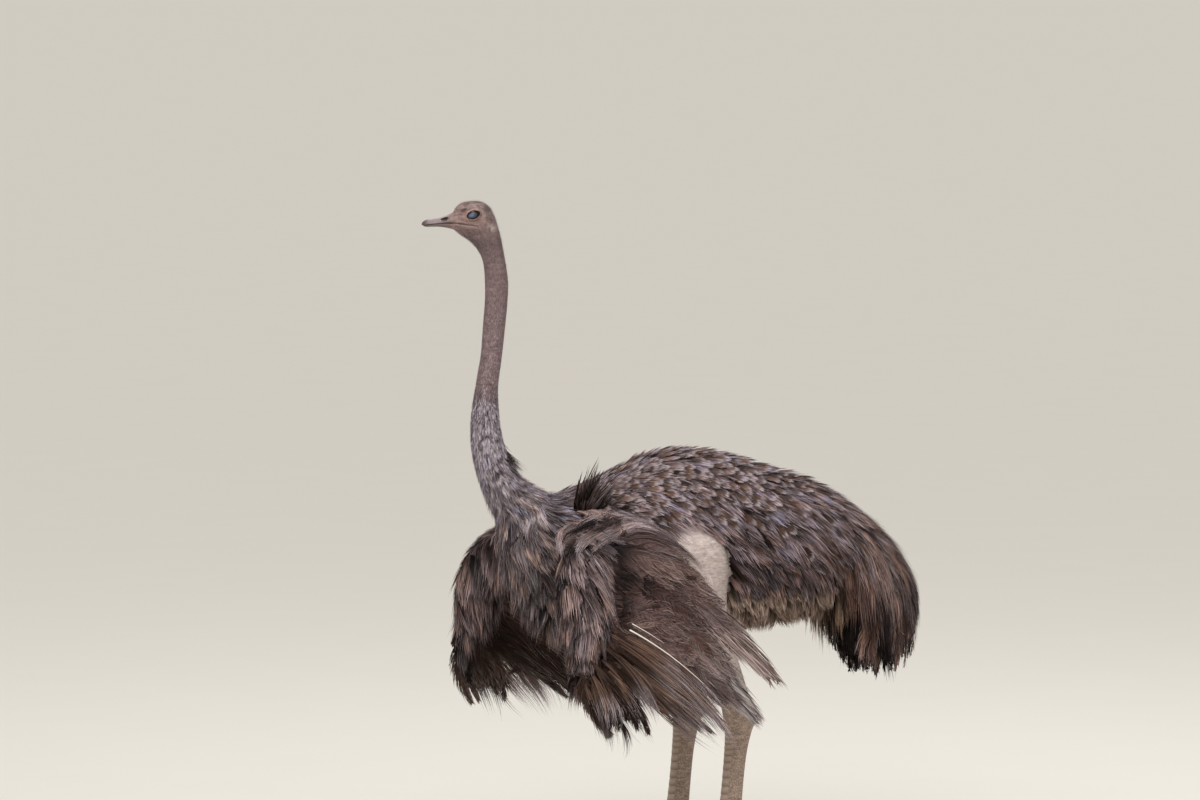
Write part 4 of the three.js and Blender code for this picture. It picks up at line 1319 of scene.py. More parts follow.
rng = np.random.default_rng(11)
u, v = scattered(body, DOWN_COUNT, (0.15, 14.6), (-np.pi, np.pi), 1, down_weight)
keep = face_bareness(u, v) < 0.25 + 0.75 * rng.random(len(u))
u, v = u[keep], v[keep]
head_share = 1 - smooth(8, 10.5, u)
crown = head_share * smooth(0.2, 0.9, np.cos(v))
stand = crown * (rng.random(len(u)) < 0.16)
length = (6.5 + 2.5 * rng.random(len(u))) * (1 - 0.4 * head_share) + 6 * smooth(12.5, 14.4, u) + 9 * stand
lift = 0.4 + 1.2 * crown * rng.random(len(u)) + 0.7 * rng.random(len(u)) + 6 * stand
skin_depth = coat_depth(u)
path, normals = laid(body, u, v, length, coat_flow, (skin_depth + 0.3, skin_depth - 1.4), lift, steps=2)
tint = marked_skin(path[:, 0]) * (0.75 + 0.75 * rng.random(len(u)))[:, None]
tint = mixed(tint, ZONES["neck"][2], 0.5 * (rng.random(len(u)) < 0.3) * (0.3 + 0.7 * smooth(8, 12, u)))
tint = mixed(tint, ZONES["neck"][0], 0.7 * stand)
nape = smooth(0.75, 0.97, np.cos(v)) * smooth(6, 9, u) * (rng.random(len(u)) < 0.5)
tint = mixed(tint, ZONES["neck"][0], 0.7 * nape)
width = (0.42 + 0.3 * rng.random(len(u))) * (1 - 0.3 * head_share)
dress(
    "neck_down", BRISTLE, path, normals, width, tint, body_uv(u, v), rng,
    tips=FRINGE, pale=0.3 + 0 * u, root_shade=(0.6, 0.75), rim=0.5,
)

# ---- Feathers of the lower neck ----
# Below the middle of the neck the down gives way to short feathers, hair-like, streaked pale and dark,
# that grow from the skin at a low angle and lengthen towards the shoulders.
HACKLE = hackle(5, half=0.032, aspect=0.14)
HACKLE_COUNT = 10500


def neck_weight(u, v):
    """Neck feathers start thinly, are closest below their start, and end under the back and breast."""
    close = 0.1 + 1.8 * smooth(13.2, 14.6, u) * (1 - 0.7 * smooth(15, 18, u))
    return close * (1 - smooth(19.5, 21, u)) + 0 * v


u, v = scattered(body, HACKLE_COUNT, (13.2, 21.0), (-np.pi, np.pi), 2, neck_weight)
grown = smooth(13.6, 20, u)
length = 12 + 46 * grown + 9 * rng.random(len(u))
skin_depth = coat_depth(u)
lift = rng.normal(size=len(u)) * (0.4 + 2.6 * grown) + 0.6
path, normals = laid(body, u, v, length, coat_flow, (skin_depth, 1 + 0 * u), lift, steps=3)
path, streak = clumped(path, rng, 1100, 0.5)
tone = 0.5 + 0.18 * streak + 0.34 * rng.normal(size=len(u))
tone = tone + 0.16 * (1 - smooth(14.3, 16.2, u)) - 0.2 * smooth(16, 19, u)
tint = weathered(toned(body_zones(u, v), tone), 0.7 * streak[::-1] * grown)
bare_tint = 1.2 * marked_skin(path[:, 0])
tint = mixed(tint, bare_tint, 0.8 * (1 - smooth(13.1, 14.0, u)))
dress(
    "neck_feathers", HACKLE, path, normals, 1.6 + 5.6 * grown, tint, body_uv(u, v), rng,
    tips=FRINGE, pale=0.35 * (rng.random(len(u)) < 0.5) * grown, root_shade=(0.9, 0.4),
)

# ---- Breast ----
# The breast's feathers are long soft ones with loose barbs. They are rooted in the skin from the shoulders
# to the breastbone and hang in streaky clumps, greyer at their tips, over the roots of the wings.
SHAGGY = hackle(8, steps=3, half=0.021, aspect=0.1)
BREAST_COUNT = 3700


def kept(keep, *arrays):
    """The arrays with only the feathers that are kept."""
    return [array[keep] for array in arrays]


def coat(name, pattern, u, v, path, normals, drift, rng, tone, wear, half, pale, **look):
    """Dresses the body with the feathers that clear the thighs. Tone and wear are each a level, a share of
    the clump's drift and a share of each feather's own chance; half is a least half width and its range."""
    path, keep = over_thigh(path)
    tone = tone[0] + tone[1] * drift + tone[2] * rng.normal(size=len(u))
    wear = wear[0] + wear[1] * drift + wear[2] * rng.normal(size=len(u))
    tint = weathered(toned(body_zones(u, v), tone), wear)
    half = half[0] + half[1] * rng.random(len(u))
    parts = kept(keep, path, normals, half, tint, body_uv(u, v))
    dress(name, pattern, *parts, rng, **{"tips": FRINGE} | look, pale=pale(keep.sum()))


u, v = scattered(
    body, BREAST_COUNT, (18.0, 24.2), (-np.pi, np.pi), 3,
    lambda u, v: (0.3 + 0.7 * smooth(0.6, 1.3, np.abs(v))) * (1 - 0.8 * smooth(22.5, 24.2, u)),
)
length = 80 + 45 * rng.random(len(u))
lift = 4 + 7 * rng.normal(size=len(u))
path, normals = laid(body, u, v, length, coat_flow, (coat_depth(u), 2 + 0 * u), lift)
path, drift = clumped(path, rng, 300, 0.62)
coat(
    "breast_feathers", SHAGGY, u, v, path, normals, drift, rng, tone=(0.42, 0.36, 0.26),
    wear=(0.1, 0.6, 0.75), half=(8, 4), pale=lambda n: 0.4 * rng.random(n), ruffle=1.3, strayed=0.34,
)

# ---- Back ----
# The back is covered by streaky loose-barbed feathers that lie to the rear, and over them by short coverts
# with rounded ends, brown and grey with a thin pale fringe, which overlap like tiles on its top.
BACK_LOCK = hackle(7, steps=3, half=0.026, aspect=0.12)
ROUND_VANE = rounded(13, half=0.046)
BACK_COUNT, COVERT_COUNT = 4300, 560
COVERT_RIM = 1.15 * FRINGE
u, v = scattered(
    body, BACK_COUNT, (19.4, 31.4), (-2.1, 2.1), 4,
    lambda u, v: (
        (1 - 0.95 * smooth(0.8, 1.9, np.abs(v))) * (1 - 0.7 * smooth(27, 31, u)) * smooth(18.8, 20.5, u)
    ),
)
length = 74 + 40 * rng.random(len(u)) + 40 * smooth(26, 30, u)
lift = 2 + 4.5 * rng.normal(size=len(u))
path, normals = laid(body, u, v, length, coat_flow, (0.75 * coat_depth(u), 1 + 0 * u), lift)
path, drift = clumped(path, rng, 520, 0.5)
coat(
    "back_feathers", BACK_LOCK, u, v, path, normals, drift, rng, tone=(0.46, 0.26, 0.28),
    wear=(0.2, -0.5, 1.05), half=(7, 4), pale=lambda n: 0.75 * rng.random(n) * (rng.random(n) < 0.6),
    ruffle=1.2, rim=0.55, strayed=0.32,
)

u, v = scattered(
    body, COVERT_COUNT, (20.6, 28.4), (-1.6, 1.6), 6,
    lambda u, v: (1 - 0.95 * smooth(0.5, 1.4, np.abs(v))) * (1 - 0.85 * smooth(24.5, 28.4, u)),
)
length = 48 + 20 * rng.random(len(u))
lift = 3 + 3 * rng.normal(size=len(u))
path, normals = laid(body, u, v, length, coat_flow, (0.3 * coat_depth(u), -1 + 0 * u), lift, steps=3)
coat(
    "back_coverts", ROUND_VANE, u, v, path, normals, 0, rng, tone=(0.38, 0, 0.16), wear=(0, 0, 0.6),
    half=(11, 5), pale=lambda n: 0.3 + 0.55 * rng.random(n), tips=COVERT_RIM, ruffle=0.2, rim=0.66,
)

# ---- Flanks and belly ----
# Long shaggy feathers are rooted along the flanks and the rump and hang down in clumps, with dark gaps
# between them, to a soft hem. The belly's own feathers below it are short, even and pale brown.
HEM_Z = 752
BELLY_LENGTH = 36
FLANK_COUNT = 4100
for side, word in SIDES_OF.items():
    u, v = scattered(
        body, FLANK_COUNT, (20.5, 32.0), (0.3, np.pi), 20 + side,
        lambda u, v: (
            np.maximum(smooth(0.4, 1.3, v), 0.9 * smooth(24, 29, u)) * (1 - 0.35 * smooth(2.3, 2.8, v))
        ),
    )
    v = v * side
    height = body(u, v, 0 * u)[:, 2]
    above = height > HEM_Z + 20
    to_hem = np.where(above, 1.1 * (height - HEM_Z) + 12 * rng.normal(size=len(u)), BELLY_LENGTH)
    length = np.minimum(105 + 60 * rng.random(len(u)), np.maximum(to_hem, BELLY_LENGTH))
    lift = 2 + 6 * rng.normal(size=len(u)) * smooth(40, 110, length)
    path, normals = laid(body, u, v, length, coat_flow, (coat_depth(u), 2 + 0 * u), lift)
    path, drift = clumped(path, rng, 330, 0.58)
    contrast = np.where(above, 1, 0.5)
    coat(
        f"{word}_flank_feathers", SHAGGY, u, v, path, normals, drift, rng,
        tone=(0.46, 0.34 * contrast, 0.26 * contrast), wear=(0.3 * above, 0.6 * above, 0.9 * above),
        half=(7, 4), pale=lambda n: 0.25 * rng.random(n), ruffle=1.3, strayed=0.34,
    )

# ---- Tail ----
# Long loose feathers are rooted round the tail's end. Those on top stream down over it, brown and bleached,
# and those underneath are black as painted shade. They hide the roots of a ragged skirt of hanging plumes.
LONG_SHAGGY = hackle(9, steps=3, half=0.009, aspect=0.06)
TAIL_COUNT = 2000
u, v = scattered(body, TAIL_COUNT, (29.0, 33.9), (-np.pi, np.pi), 5)
length = 170 + 150 * rng.random(len(u)) - 150 * smooth(1.4, 2.2, np.abs(v))
lift = 5 + 11 * rng.normal(size=len(u))
path, normals = laid(body, u, v, length, coat_flow, (0.7 * coat_depth(u), 2 + 0 * u), lift, free_from=-0.3)
path, drift = clumped(path, rng, 330, 0.6)
tone = 0.44 + 0.26 * drift + 0.25 * rng.normal(size=len(u))
falling = -0.5 * smooth(30, 33, u)[:, None] * np.linspace(0, 1, path.shape[1])[None, :]
tint = weathered(toned(body_zones(u, v)[:, None], tone[:, None] + falling), 0.1 + 0.6 * drift)
dress(
    "tail_feathers", LONG_SHAGGY, path, normals, 8 + 5 * rng.random(len(u)), tint, body_uv(u, v), rng,
    tips=FRINGE, pale=0.4 * rng.random(len(u)) * (1 - smooth(0.9, 1.7, np.abs(v))), ruffle=1.4, strayed=0.4,
)

# The skirt's plumes hang from a disc inside the tail's end, black as painted shade, with brown ones streaming
# over them.
# The lowest tips are under TAIL_MIDDLE_X, and the others end higher the farther they are from it.
PLUME = vane(34, 0.4, steps=3, shaft=0.005, fill=0.7, aspect=0.12, ragged=0.5)
PLUME_COUNT = 190
GOLDEN_ANGLE = 2.399963
SKIRT_ROOT, SKIRT_INSET = 33.0, 20
TAIL_MIDDLE_X, SKIRT_LOWEST = 447, 505
angle = np.arange(PLUME_COUNT) * GOLDEN_ANGLE % (2 * np.pi) - np.pi
rank = np.sqrt((np.arange(PLUME_COUNT) + 0.5) / PLUME_COUNT)
root = straight_body(SKIRT_ROOT + 0 * angle, angle, 0 * angle + SKIRT_INSET)
heart = root.mean(0)
root = heart + (root - heart) * rank[:, None]
behind = root[:, 0] - TAIL_MIDDLE_X
low = SKIRT_LOWEST + np.where(behind > 0, 0.75, -1.25) * behind
low = low + 90 * rng.random(PLUME_COUNT) * rng.random(PLUME_COUNT)
tip = root.copy()
tip[:, 0] += np.where(behind > 0, 30, 0) * rank - 10 + 10 * rng.normal(size=PLUME_COUNT)
tip[:, 1] = tip[:, 1] * 0.92 + 10 * rng.normal(size=PLUME_COUNT)
tip[:, 2] = np.minimum(low, root[:, 2] - 90)
share = np.linspace(0, 1, 5)[None, :, None]
outer = unit((root - heart) * [1, 1, 0.0] + [1e-6, 0, 0])
bulge = (outer * (20 * rank)[:, None])[:, None] * (4 * share * (1 - share))
path = root[:, None] * (1 - share) + tip[:, None] * share + bulge
normals = np.repeat(outer[:, None], 5, 1)
brown = (rank > 0.62) & (root[:, 0] > 400) & (rng.random(PLUME_COUNT) < 0.7)
# painted shade: the inner plumes, under the tail, are black
zones = np.where(brown[:, None, None], ZONES["tail"], ZONES["blackest"])
tint = toned(zones, 0.42 + 0.25 * rng.normal(size=PLUME_COUNT))
skirt = dress(
    "tail_skirt_plumes", PLUME, path, normals, 15 + 12 * rng.random(PLUME_COUNT), tint,
    np.stack([angle / 7, rank], -1), rng, tips=FRINGE, pale=0.25 * brown, ruffle=1.6,
)
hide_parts("tail_plumes")

# ---- Wings ----
# Each wing hangs open from the shoulder. Soft plumes with free barbs are rooted along the arm and fan to the
# rear in two layers, under lobes of shorter plumes, down and long loose strands. Locks clothe the arm.
# TIPS is the line of the plumes' tips, as x, distance out and height, from the shoulder to the finger.
TIPS = [
    [-138, 300, 763],
    [2, 360, 629],
    [38, 400, 517],
    [-16, 430, 438],
    [-60, 450, 366],
    [-285, 470, 367],
    [-640, 486, 410],
]
PLUME_ARCH = (0.18, 0.03)
PLUME_THICK = (64, 8)


def plume_sheet(u, v, side, face):
    """A place in the layer of plumes: u along the arm, v from the arm to the tips, bowed up as 4v(1-v), and
    face from -1 underneath to 1 on top, times half the layer's thickness. Gives the way out too."""
    u, v = np.broadcast_arrays(u, v)

    def middle(u, v):
        """The sheet's middle layer."""
        root = arm_line(u, side)
        tip = along(TIPS, u) * np.array([1, side, 1])
        length = np.linalg.norm(tip - root, axis=-1)
        arch = (PLUME_ARCH[0] + (PLUME_ARCH[1] - PLUME_ARCH[0]) * u) * length * 4 * v * (1 - v)
        return root + (tip - root) * v[..., None] + arch[..., None] * np.array([0, side * 0.3, 1.0])

    by_u = middle(np.minimum(u + 0.01, 1), v) - middle(np.minimum(u + 0.01, 1) - 0.02, v)
    by_v = middle(u, v + 0.01) - middle(u, v - 0.01)
    out = unit(np.cross(by_u, by_v)) * -side
    thick = PLUME_THICK[0] + (PLUME_THICK[1] - PLUME_THICK[0]) * v
    return middle(u, v) + out * (face * thick / 2)[..., None], out


def wing_shade(u, v):
    """How dark or light a place of the wing is painted: painted shade in deep hollows among the plumes'
    roots, in dark gaps between the bundles and over the leading third, and painted light towards the
    plumes' ends, where they are sunlit."""

    def hollow(at_u, at_v, size_u, size_v):
        """A bell curve about a place of the wing."""
        return np.exp(-(((u - at_u) / size_u) ** 2) - ((v - at_v) / size_v) ** 2)

    dark = hollow(0.26, 0.15, 0.06, 0.08) + 1.1 * hollow(0.37, 0.19, 0.05, 0.08)
    dark = dark + 0.8 * hollow(0.45, 0.1, 0.06, 0.06) + 0.8 * hollow(0.55, 0.13, 0.08, 0.05)
    dark = dark + 0.75 * hollow(0.43, 0.75, 0.03, 0.3) + 0.5 * smooth(0.66, 0.78, u)
    sunlit = (0.3 + 0.8 * smooth(0.4, 0.46, u)) * smooth(0.42, 0.75, v) * (1 - smooth(0.6, 0.7, u))
    return (1 - np.clip(dark, 0, 0.93)) * (1 + sunlit)


def lit_and_shaded(tint, shade):
    """Tint scaled by the painted shade and light at each node of a path. Where it is over one, as a painted
    highlight, the colour also turns greyer.
    """
    made = tint[:, None] * shade[..., None]
    return mixed(made, made.mean(-1, keepdims=True) + 0 * made, 0.75 * np.clip(shade - 1, 0, 1))


# How far towards the tips' line the plumes reach at each place along the arm, and the places that they
# lean to, so that they hang in bundles with gaps between.
REACH = np.array(
    [[0, 0.5], [0.12, 0.53], [0.27, 0.6], [0.33, 1], [0.38, 0.96], [0.44, 0.74], [0.5, 1], [0.62, 0.97]]
    + [[0.7, 0.86], [0.8, 0.92], [0.9, 0.86], [1, 0.95]]
)
BUNDLES = np.array([0.12, 0.35, 0.53, 0.74, 0.92])
PATH_NODES = 7


def plume_run(u, start, reach, side, face, stray):
    """Paths from start to reach over the sheet, each strayed along the arm and leaning to its bundle by the
    power 1.5 of the way along. Gives the paths, the ways out and the shades."""
    share = np.linspace(0, 1, PATH_NODES)[None, :]
    v = start[:, None] + (reach - start)[:, None] * share
    bundle = BUNDLES[np.abs(u[:, None] - BUNDLES).argmin(1)]
    lane = u[:, None] + (stray + 0.55 * (bundle - u))[:, None] * share**1.5
    lane = np.clip(lane, 0.0, 1.0)
    path, out = plume_sheet(lane, v, side, face[:, None] * (1 - 0.5 * share))
    return path, out, wing_shade(lane, v)


# How far forward of the arm's line loose strands may lie.
FORWARD_MOST = {LEFT: -0.1, RIGHT: 0.04}


def streamed(knots, count, span, spread, side, face, rng):
    """Paths of strands that follow one curve over the sheet, given by a few places on it. Each begins
    anywhere on the curve, covers span of it and strays to a side, and its tip stands out by the square of
    the way along. Gives the paths, the ways out and the shades."""
    begin = (1 - span) * rng.random(count)
    share = np.linspace(0, 1, PATH_NODES)
    place = along(knots, begin[:, None] + span * share)
    stray = rng.normal(size=(count, 1, 2)) * spread
    bend = rng.normal(size=(count, 1, 2)) * 0.5 * np.array(spread) * (share - 0.3)[None, :, None]
    u, v = np.moveaxis(place + stray + bend, -1, 0)
    u, v = np.clip(u, 0, 1), np.maximum(v, FORWARD_MOST[side])
    path, out = plume_sheet(u, v, side, face[:, None] + 0.4 * share)
    path = path + out * (2 + 5 * rng.normal(size=(count, 1, 1))) * (share**2)[None, :, None]
    return path, out, wing_shade(u, v)


# Streams of long strands: over the shoulder and round the wing's rear edge, down its leading edge, and down
# its outer third. A stream has its curve, its number of strands, the share of the curve that each covers,
# their spread, and the least and the range of how far out of the sheet they lie.
SWEEP = [[0.34, -0.04], [0.2, 0.06], [0.07, 0.2], [0.02, 0.36], [0.02, 0.52], [0.1, 0.6], [0.26, 0.56]]
SHOULDER = [[0.02, 0.02], [0.08, 0.1], [0.16, 0.04], [0.3, -0.08], [0.46, -0.1]]
FALLS = [[[u, 0.1], [u + 0.01, 0.5], [u + 0.02, 1.04]] for u in (0.7, 0.8, 0.9)]
STREAMS = [(SWEEP, 222, 0.42, (0.035, 0.035), (1.1, 0.4)), (SHOULDER, 126, 0.5, (0.045, 0.05), (1.2, 0.5))]
STREAMS += [(fall, 34, 0.55, (0.03, 0.05), (0.9, 0.5)) for fall in FALLS]
STREAM_COUNTS = [count for _, count, *_ in STREAMS]
# Lobes of three soft plumes each over the roots of the long ones: where they start and end on the sheet.
LOBES = np.array(
    [[0.25, 0.05, 0.3, 0.46], [0.15, 0.08, 0.15, 0.54], [0.05, 0.05, 0.07, 0.6], [0.39, 0.25, 0.41, 0.58]]
    + [[0.51, 0.16, 0.52, 0.52], [0.61, 0.14, 0.62, 0.56], [0.31, 0.32, 0.33, 0.72]]
    + [[0.2, 0.28, 0.25, 0.64], [0.49, 0.4, 0.5, 0.78], [0.6, 0.42, 0.6, 0.82]]
)
COVERTS_U = np.array([0.17, 0.2, 0.235, 0.2, 0.26, 0.46, 0.5, 0.44])
COVERTS_V = np.array([0.06, 0.07, 0.08, 0.03, 0.04, -0.03, -0.02, 0.0])
DOWN_TRIED = 150
ARM_LOCKS = 1250
ARM_LIGHT_GAIN = 1.15  # painted light: the arm's feathers are drawn lighter than the rest
WING_PLUME = vane(90, 0.34, steps=4, shaft=0.004, first=0.03, fill=1.2, aspect=0.12, bow=0.06, ragged=0.45)
LOBE_PLUME = vane(64, 0.5, steps=4, shaft=0.004, first=0.02, fill=1.0, aspect=0.2, bow=0.2, ragged=0.5)
DOWNY_PLUME = vane(42, 0.44, steps=4, shaft=0.006, first=0.03, fill=0.62, aspect=0.2, bow=0.14, ragged=0.5)
ROUND_COVERT = rounded(23, steps=4, half=0.04, aspect=0.36)
ARM_LOCK = hackle(9, steps=3, half=0.022, aspect=0.13)
STRAND = hackle(14, steps=5, half=0.0045, aspect=0.07, spread=1.0)


def clothed_arm(side):
    """The form of one arm, for feathers to be laid on."""
    return lambda u, v, inset: arm(np.clip(u, 0, 1), v, side, inset)


def arm_flow(side):
    """The lie of the arm's feathers: along the arm, back towards the plumes' tips, and down."""

    def flow(u, v, here, by_u):
        """The lie at a place of the arm."""
        root = arm_line(np.clip(u, 0, 1), side)
        back = unit(along(TIPS, np.clip(u, 0, 1)) * np.array([1, side, 1]) - root)
        return 0.9 * unit(by_u) + 0.55 * back + 0.5 * DOWNWARD

    return flow


def wing_plumes(side, word, rng):
    """The long plumes in an upper and a lower layer, each bundle with pale edges and painted shade in the
    gaps beside it.
    """
    rows = (np.linspace(0.03, 0.63, 13), np.linspace(0.65, 0.985, 17), np.linspace(0.05, 0.96, 15))
    u = np.concatenate(rows)
    under = np.repeat([0.0, 1.0], [30, 15])
    short = (0.04 + 0.2 * (u > 0.64)) * rng.random(len(u))
    reach = np.interp(u, *REACH.T) * (1 - 0.05 * under) * (1 - short)
    stray = 0.01 * rng.normal(size=len(u))
    path, normals, shade = plume_run(u, 0.02 + 0 * u, reach, side, 0.7 - 1.3 * under, stray)
    zones = mixed(ZONES["wing"], ZONES["wing_dark"], smooth(0.62, 0.72, u)[:, None])
    # painted shade: the lower layer is drawn darker than the upper
    tint = toned(zones, 0.55 + 0.12 * rng.normal(size=len(u)) - 0.2 * under)
    return dress(
        f"{word}_wing_plumes", WING_PLUME, path, normals, 50 - 24 * smooth(0.55, 0.75, u),
        lit_and_shaded(tint, shade), np.stack([u, under], -1), rng, tips=WING_PALE,
        pale=0.75 * (1 - 0.7 * smooth(0.6, 0.75, u)), shaft_tint=ZONES["wing"][1],
        ruffle=0.9, root_shade=(0.3, 0.6), strayed=0.4,
    )


def wing_lobes(side, word, rng):
    """The lobes: three plumes side by side, the middle one longest and on top."""
    fan = np.tile([-1.0, 1.0, 0.0], len(LOBES))
    u, start, u_end, reach = np.repeat(LOBES, 3, axis=0).T
    u = u + 0.028 * fan
    lean = u_end + 0.045 * fan + 0.01 * rng.normal(size=len(u)) - u
    share = np.linspace(0, 1, PATH_NODES)[None, :]
    v = start[:, None] + (reach - 0.05 * np.abs(fan) - start)[:, None] * share
    lane = np.clip(u[:, None] + lean[:, None] * share, 0, 1)
    rise = 1.25 - 0.5 * start + 0.12 * (fan == 0)
    path, normals = plume_sheet(lane, v, side, rise[:, None] - 0.2 * share)
    path = path + normals * (5 + 5 * rng.normal(size=(len(u), 1, 1))) * share[..., None] ** 2
    lobe = np.repeat(rng.normal(size=len(LOBES)), 3)
    tone = 0.56 + 0.05 * lobe + 0.05 * rng.normal(size=len(u))
    tint = weathered(toned(ZONES["wing"][None], tone), 0.25 * lobe - 0.3)
    dress(
        f"{word}_wing_lobes", LOBE_PLUME, path, normals, 34 + 8 * rng.random(len(u)),
        lit_and_shaded(tint, np.minimum(wing_shade(lane, v), 1.5)), np.stack([u, start], -1), rng,
        tips=WING_PALE, pale=0.6 + 0 * u, ruffle=0.9, droop=0.3, root_shade=(0.5, 0.22), rim=0.6, strayed=0.3,
    )


def wing_down(side, word, rng):
    """Downy plumes scattered over the roots, but not in the hollows that wing_shade paints dark, and painted
    with its shade and light.
    """
    u = 0.06 + 0.86 * rng.random(DOWN_TRIED)
    start = 0.02 + 0.42 * rng.random(DOWN_TRIED) * np.interp(u, *REACH.T)
    u, start = kept(wing_shade(u, start + 0.05) > 0.62, u, start)
    count = len(u)
    reach = np.minimum(start + 0.2 + 0.12 * rng.random(count), np.interp(u, *REACH.T))
    face = 1.0 + 0.3 * rng.random(count)
    path, normals, shade = plume_run(u, start, reach, side, face, 0.06 * rng.normal(size=count))
    share = np.linspace(0, 1, PATH_NODES)[None, :, None]
    path = path + normals * (5 + 9 * rng.normal(size=(count, 1, 1))) * share**2
    tone = 0.52 + 0.12 * rng.normal(size=count)
    outer = smooth(0.66, 0.8, u)
    tint = toned(mixed(ZONES["wing"], ZONES["wing_dark"], outer[:, None]), tone)
    dress(
        f"{word}_wing_down", DOWNY_PLUME, path, normals, 20 + 12 * rng.random(count),
        tint[:, None] * np.minimum(shade, 1.2)[..., None], np.stack([u, start], -1), rng,
        tips=WING_PALE, pale=0.7 * (rng.random(count) < 0.35) * (1 - 0.6 * outer),
        ruffle=1.2, droop=0.25, root_shade=(0.4, 0.6), rim=0.75, strayed=0.36,
    )


def wing_strands(side, word, rng):
    """The streams of long strands, drawn together in drifts, pale over the shoulder and dark outside, with
    the wing's painted shade and light on them.
    """
    runs = [
        streamed(knots, count, span, spread, side, face[0] + face[1] * rng.random(count), rng)
        for knots, count, span, spread, face in STREAMS
    ]
    path, normals, shade = (np.concatenate(parts) for parts in zip(*runs))
    path, drift = clumped(path, rng, 44, 0.62)
    tone = 0.62 + 0.42 * drift + 0.25 * rng.normal(size=len(path))
    greyer = np.repeat([0.6, 0.3, 0, 0, 0], STREAM_COUNTS)[:, None]
    hung = np.repeat([0, 0, 1, 1, 1], STREAM_COUNTS)[:, None]
    zones = mixed(mixed(ZONES["wing"], ZONES["strand"], greyer), ZONES["wing_dark"], hung)
    tint = weathered(toned(zones, np.minimum(tone, 0.9)), 0.6 * drift * (1 - 0.7 * hung[:, 0]))
    tint = tint[:, None] * (0.35 + 0.65 * np.minimum(shade, 1.1)[..., None])
    dress(
        f"{word}_wing_strands", STRAND, path, normals, 10 + 6 * rng.random(len(path)), tint,
        path[:, 0, ::2], rng, tips=FRINGE, pale=np.clip(0.4 + 0.5 * drift, 0, 1),
        ruffle=1.5, root_shade=(0.3, 0.5), strayed=0.45,
    )


def wing_coverts(side, word, rng):
    """A few dark rounded coverts with pale rims, standing off the upper arm and the wrist."""
    u, start = COVERTS_U, COVERTS_V
    path, normals, _ = plume_run(u, start, start + 0.12, side, 1.9 - 0.55 * (u > 0.4), 0.02 + 0 * u)
    tint = toned(ZONES["neck"][None], 0.3 + 0.1 * rng.normal(size=len(u)))
    dress(
        f"{word}_wing_coverts", ROUND_COVERT, path, normals, 20 + 0 * u, tint, np.stack([u, start], -1),
        rng, tips=FRINGE, pale=0.5 + 0 * u, ruffle=0.5, root_shade=(0.8, 0.3), rim=0.7,
    )


def arm_feathers(side, word, rng):
    """The streaky locks that clothe the arm all round, darkest at the finger."""
    surface = clothed_arm(side)
    u, v = scattered(surface, ARM_LOCKS, (0.0, 0.995), (-np.pi, np.pi), 60 + side)
    length = 95 + 55 * rng.random(len(u))
    lift = 4 + 6 * rng.normal(size=len(u))
    path, normals = laid(
        surface, u, v, length, arm_flow(side), (ARM_COAT + 0 * u, 0 * u), lift, outward=-1, free_from=0.1
    )
    path, drift = clumped(path, rng, 150, 0.55)
    zones = mixed(ZONES["breast"], ZONES["wing"], 0.75 + 0 * u[:, None])
    zones = mixed(zones, ZONES["wing_dark"], 0.6 * smooth(0.62, 0.85, u)[:, None])
    zones = mixed(zones, ZONES["blackest"], 0.35 * smooth(0.7, 0.9, u)[:, None])
    # painted light: the arm's locks are lightened by the gain
    tint = ARM_LIGHT_GAIN * toned(zones, 0.6 + 0.36 * drift + 0.26 * rng.normal(size=len(u)))
    tint = weathered(tint, 0.35 * drift + 0.5 * rng.normal(size=len(u)) - 0.35)
    dress(
        f"{word}_arm_feathers", ARM_LOCK, path, normals, 10 + 5 * rng.random(len(u)), tint,
        np.stack([u, v / 7], -1), rng, tips=FRINGE, pale=0.3 * rng.random(len(u)), ruffle=1.5, strayed=0.45,
    )


for side, word in SIDES_OF.items():
    rng = np.random.default_rng(40 + side)
    plumes = wing_plumes(side, word, rng)
    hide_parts(*[f"{word}_{part}_plumes" for part in ("inner", "middle", "outer")])
    wing_lobes(side, word, rng)
    wing_down(side, word, rng)
    wing_strands(side, word, rng)
    wing_coverts(side, word, rng)
    arm_feathers(side, word, rng)

# ---- Bare shafts and ruffled tufts ----
# From the middle of each wing a bare pale shaft shows, with the barbless tip of another above it. Where the
# neck joins the left shoulder a tuft of dark feathers stands up, and a few are ruffled on the nape's foot.
SHAFTS = {
    "shaft": {"u": (0.635, 0.655), "v": (0.19, 0.6), "half": 2.2},
    "barbless_tip": {"u": (0.6, 0.615), "v": (0.2, 0.36), "half": 1.3},
}


def bare_shaft(side, shaft):
    """A round quill along the sheet's top, tapering to its tip."""
    t = np.linspace(0, 1, 24)
    u = shaft["u"][0] + (shaft["u"][1] - shaft["u"][0]) * t
    v = shaft["v"][0] + (shaft["v"][1] - shaft["v"][0]) * t
    middle, out = plume_sheet(u, v, side, 1.5 + 0.5 * t)
    middle = middle + out * 12
    way = unit(np.gradient(middle, axis=0))
    across = np.cross(way, out)
    a = circle(10)[None, :, None]
    half = (shaft["half"] * (1 - 0.75 * t))[:, None, None]
    return solid_tube(middle[:, None] + half * (np.cos(a) * out[:, None] + np.sin(a) * across[:, None]))


def clouded(material, scale, first, second):
    """The first colour mixed with the second by soft noise over the object."""
    where = add_node(material, "ShaderNodeTexCoord").outputs["Object"]
    cloud = add_node(material, "ShaderNodeTexNoise", {"Scale": scale, "Detail": 3.0}, Vector=where)
    blend = add_node(material, "ShaderNodeMix", {"data_type": "RGBA"}, i_0=cloud.outputs[0])
    blend.inputs[6].default_value, blend.inputs[7].default_value = (*first, 1), (*second, 1)
    return blend.outputs[2]


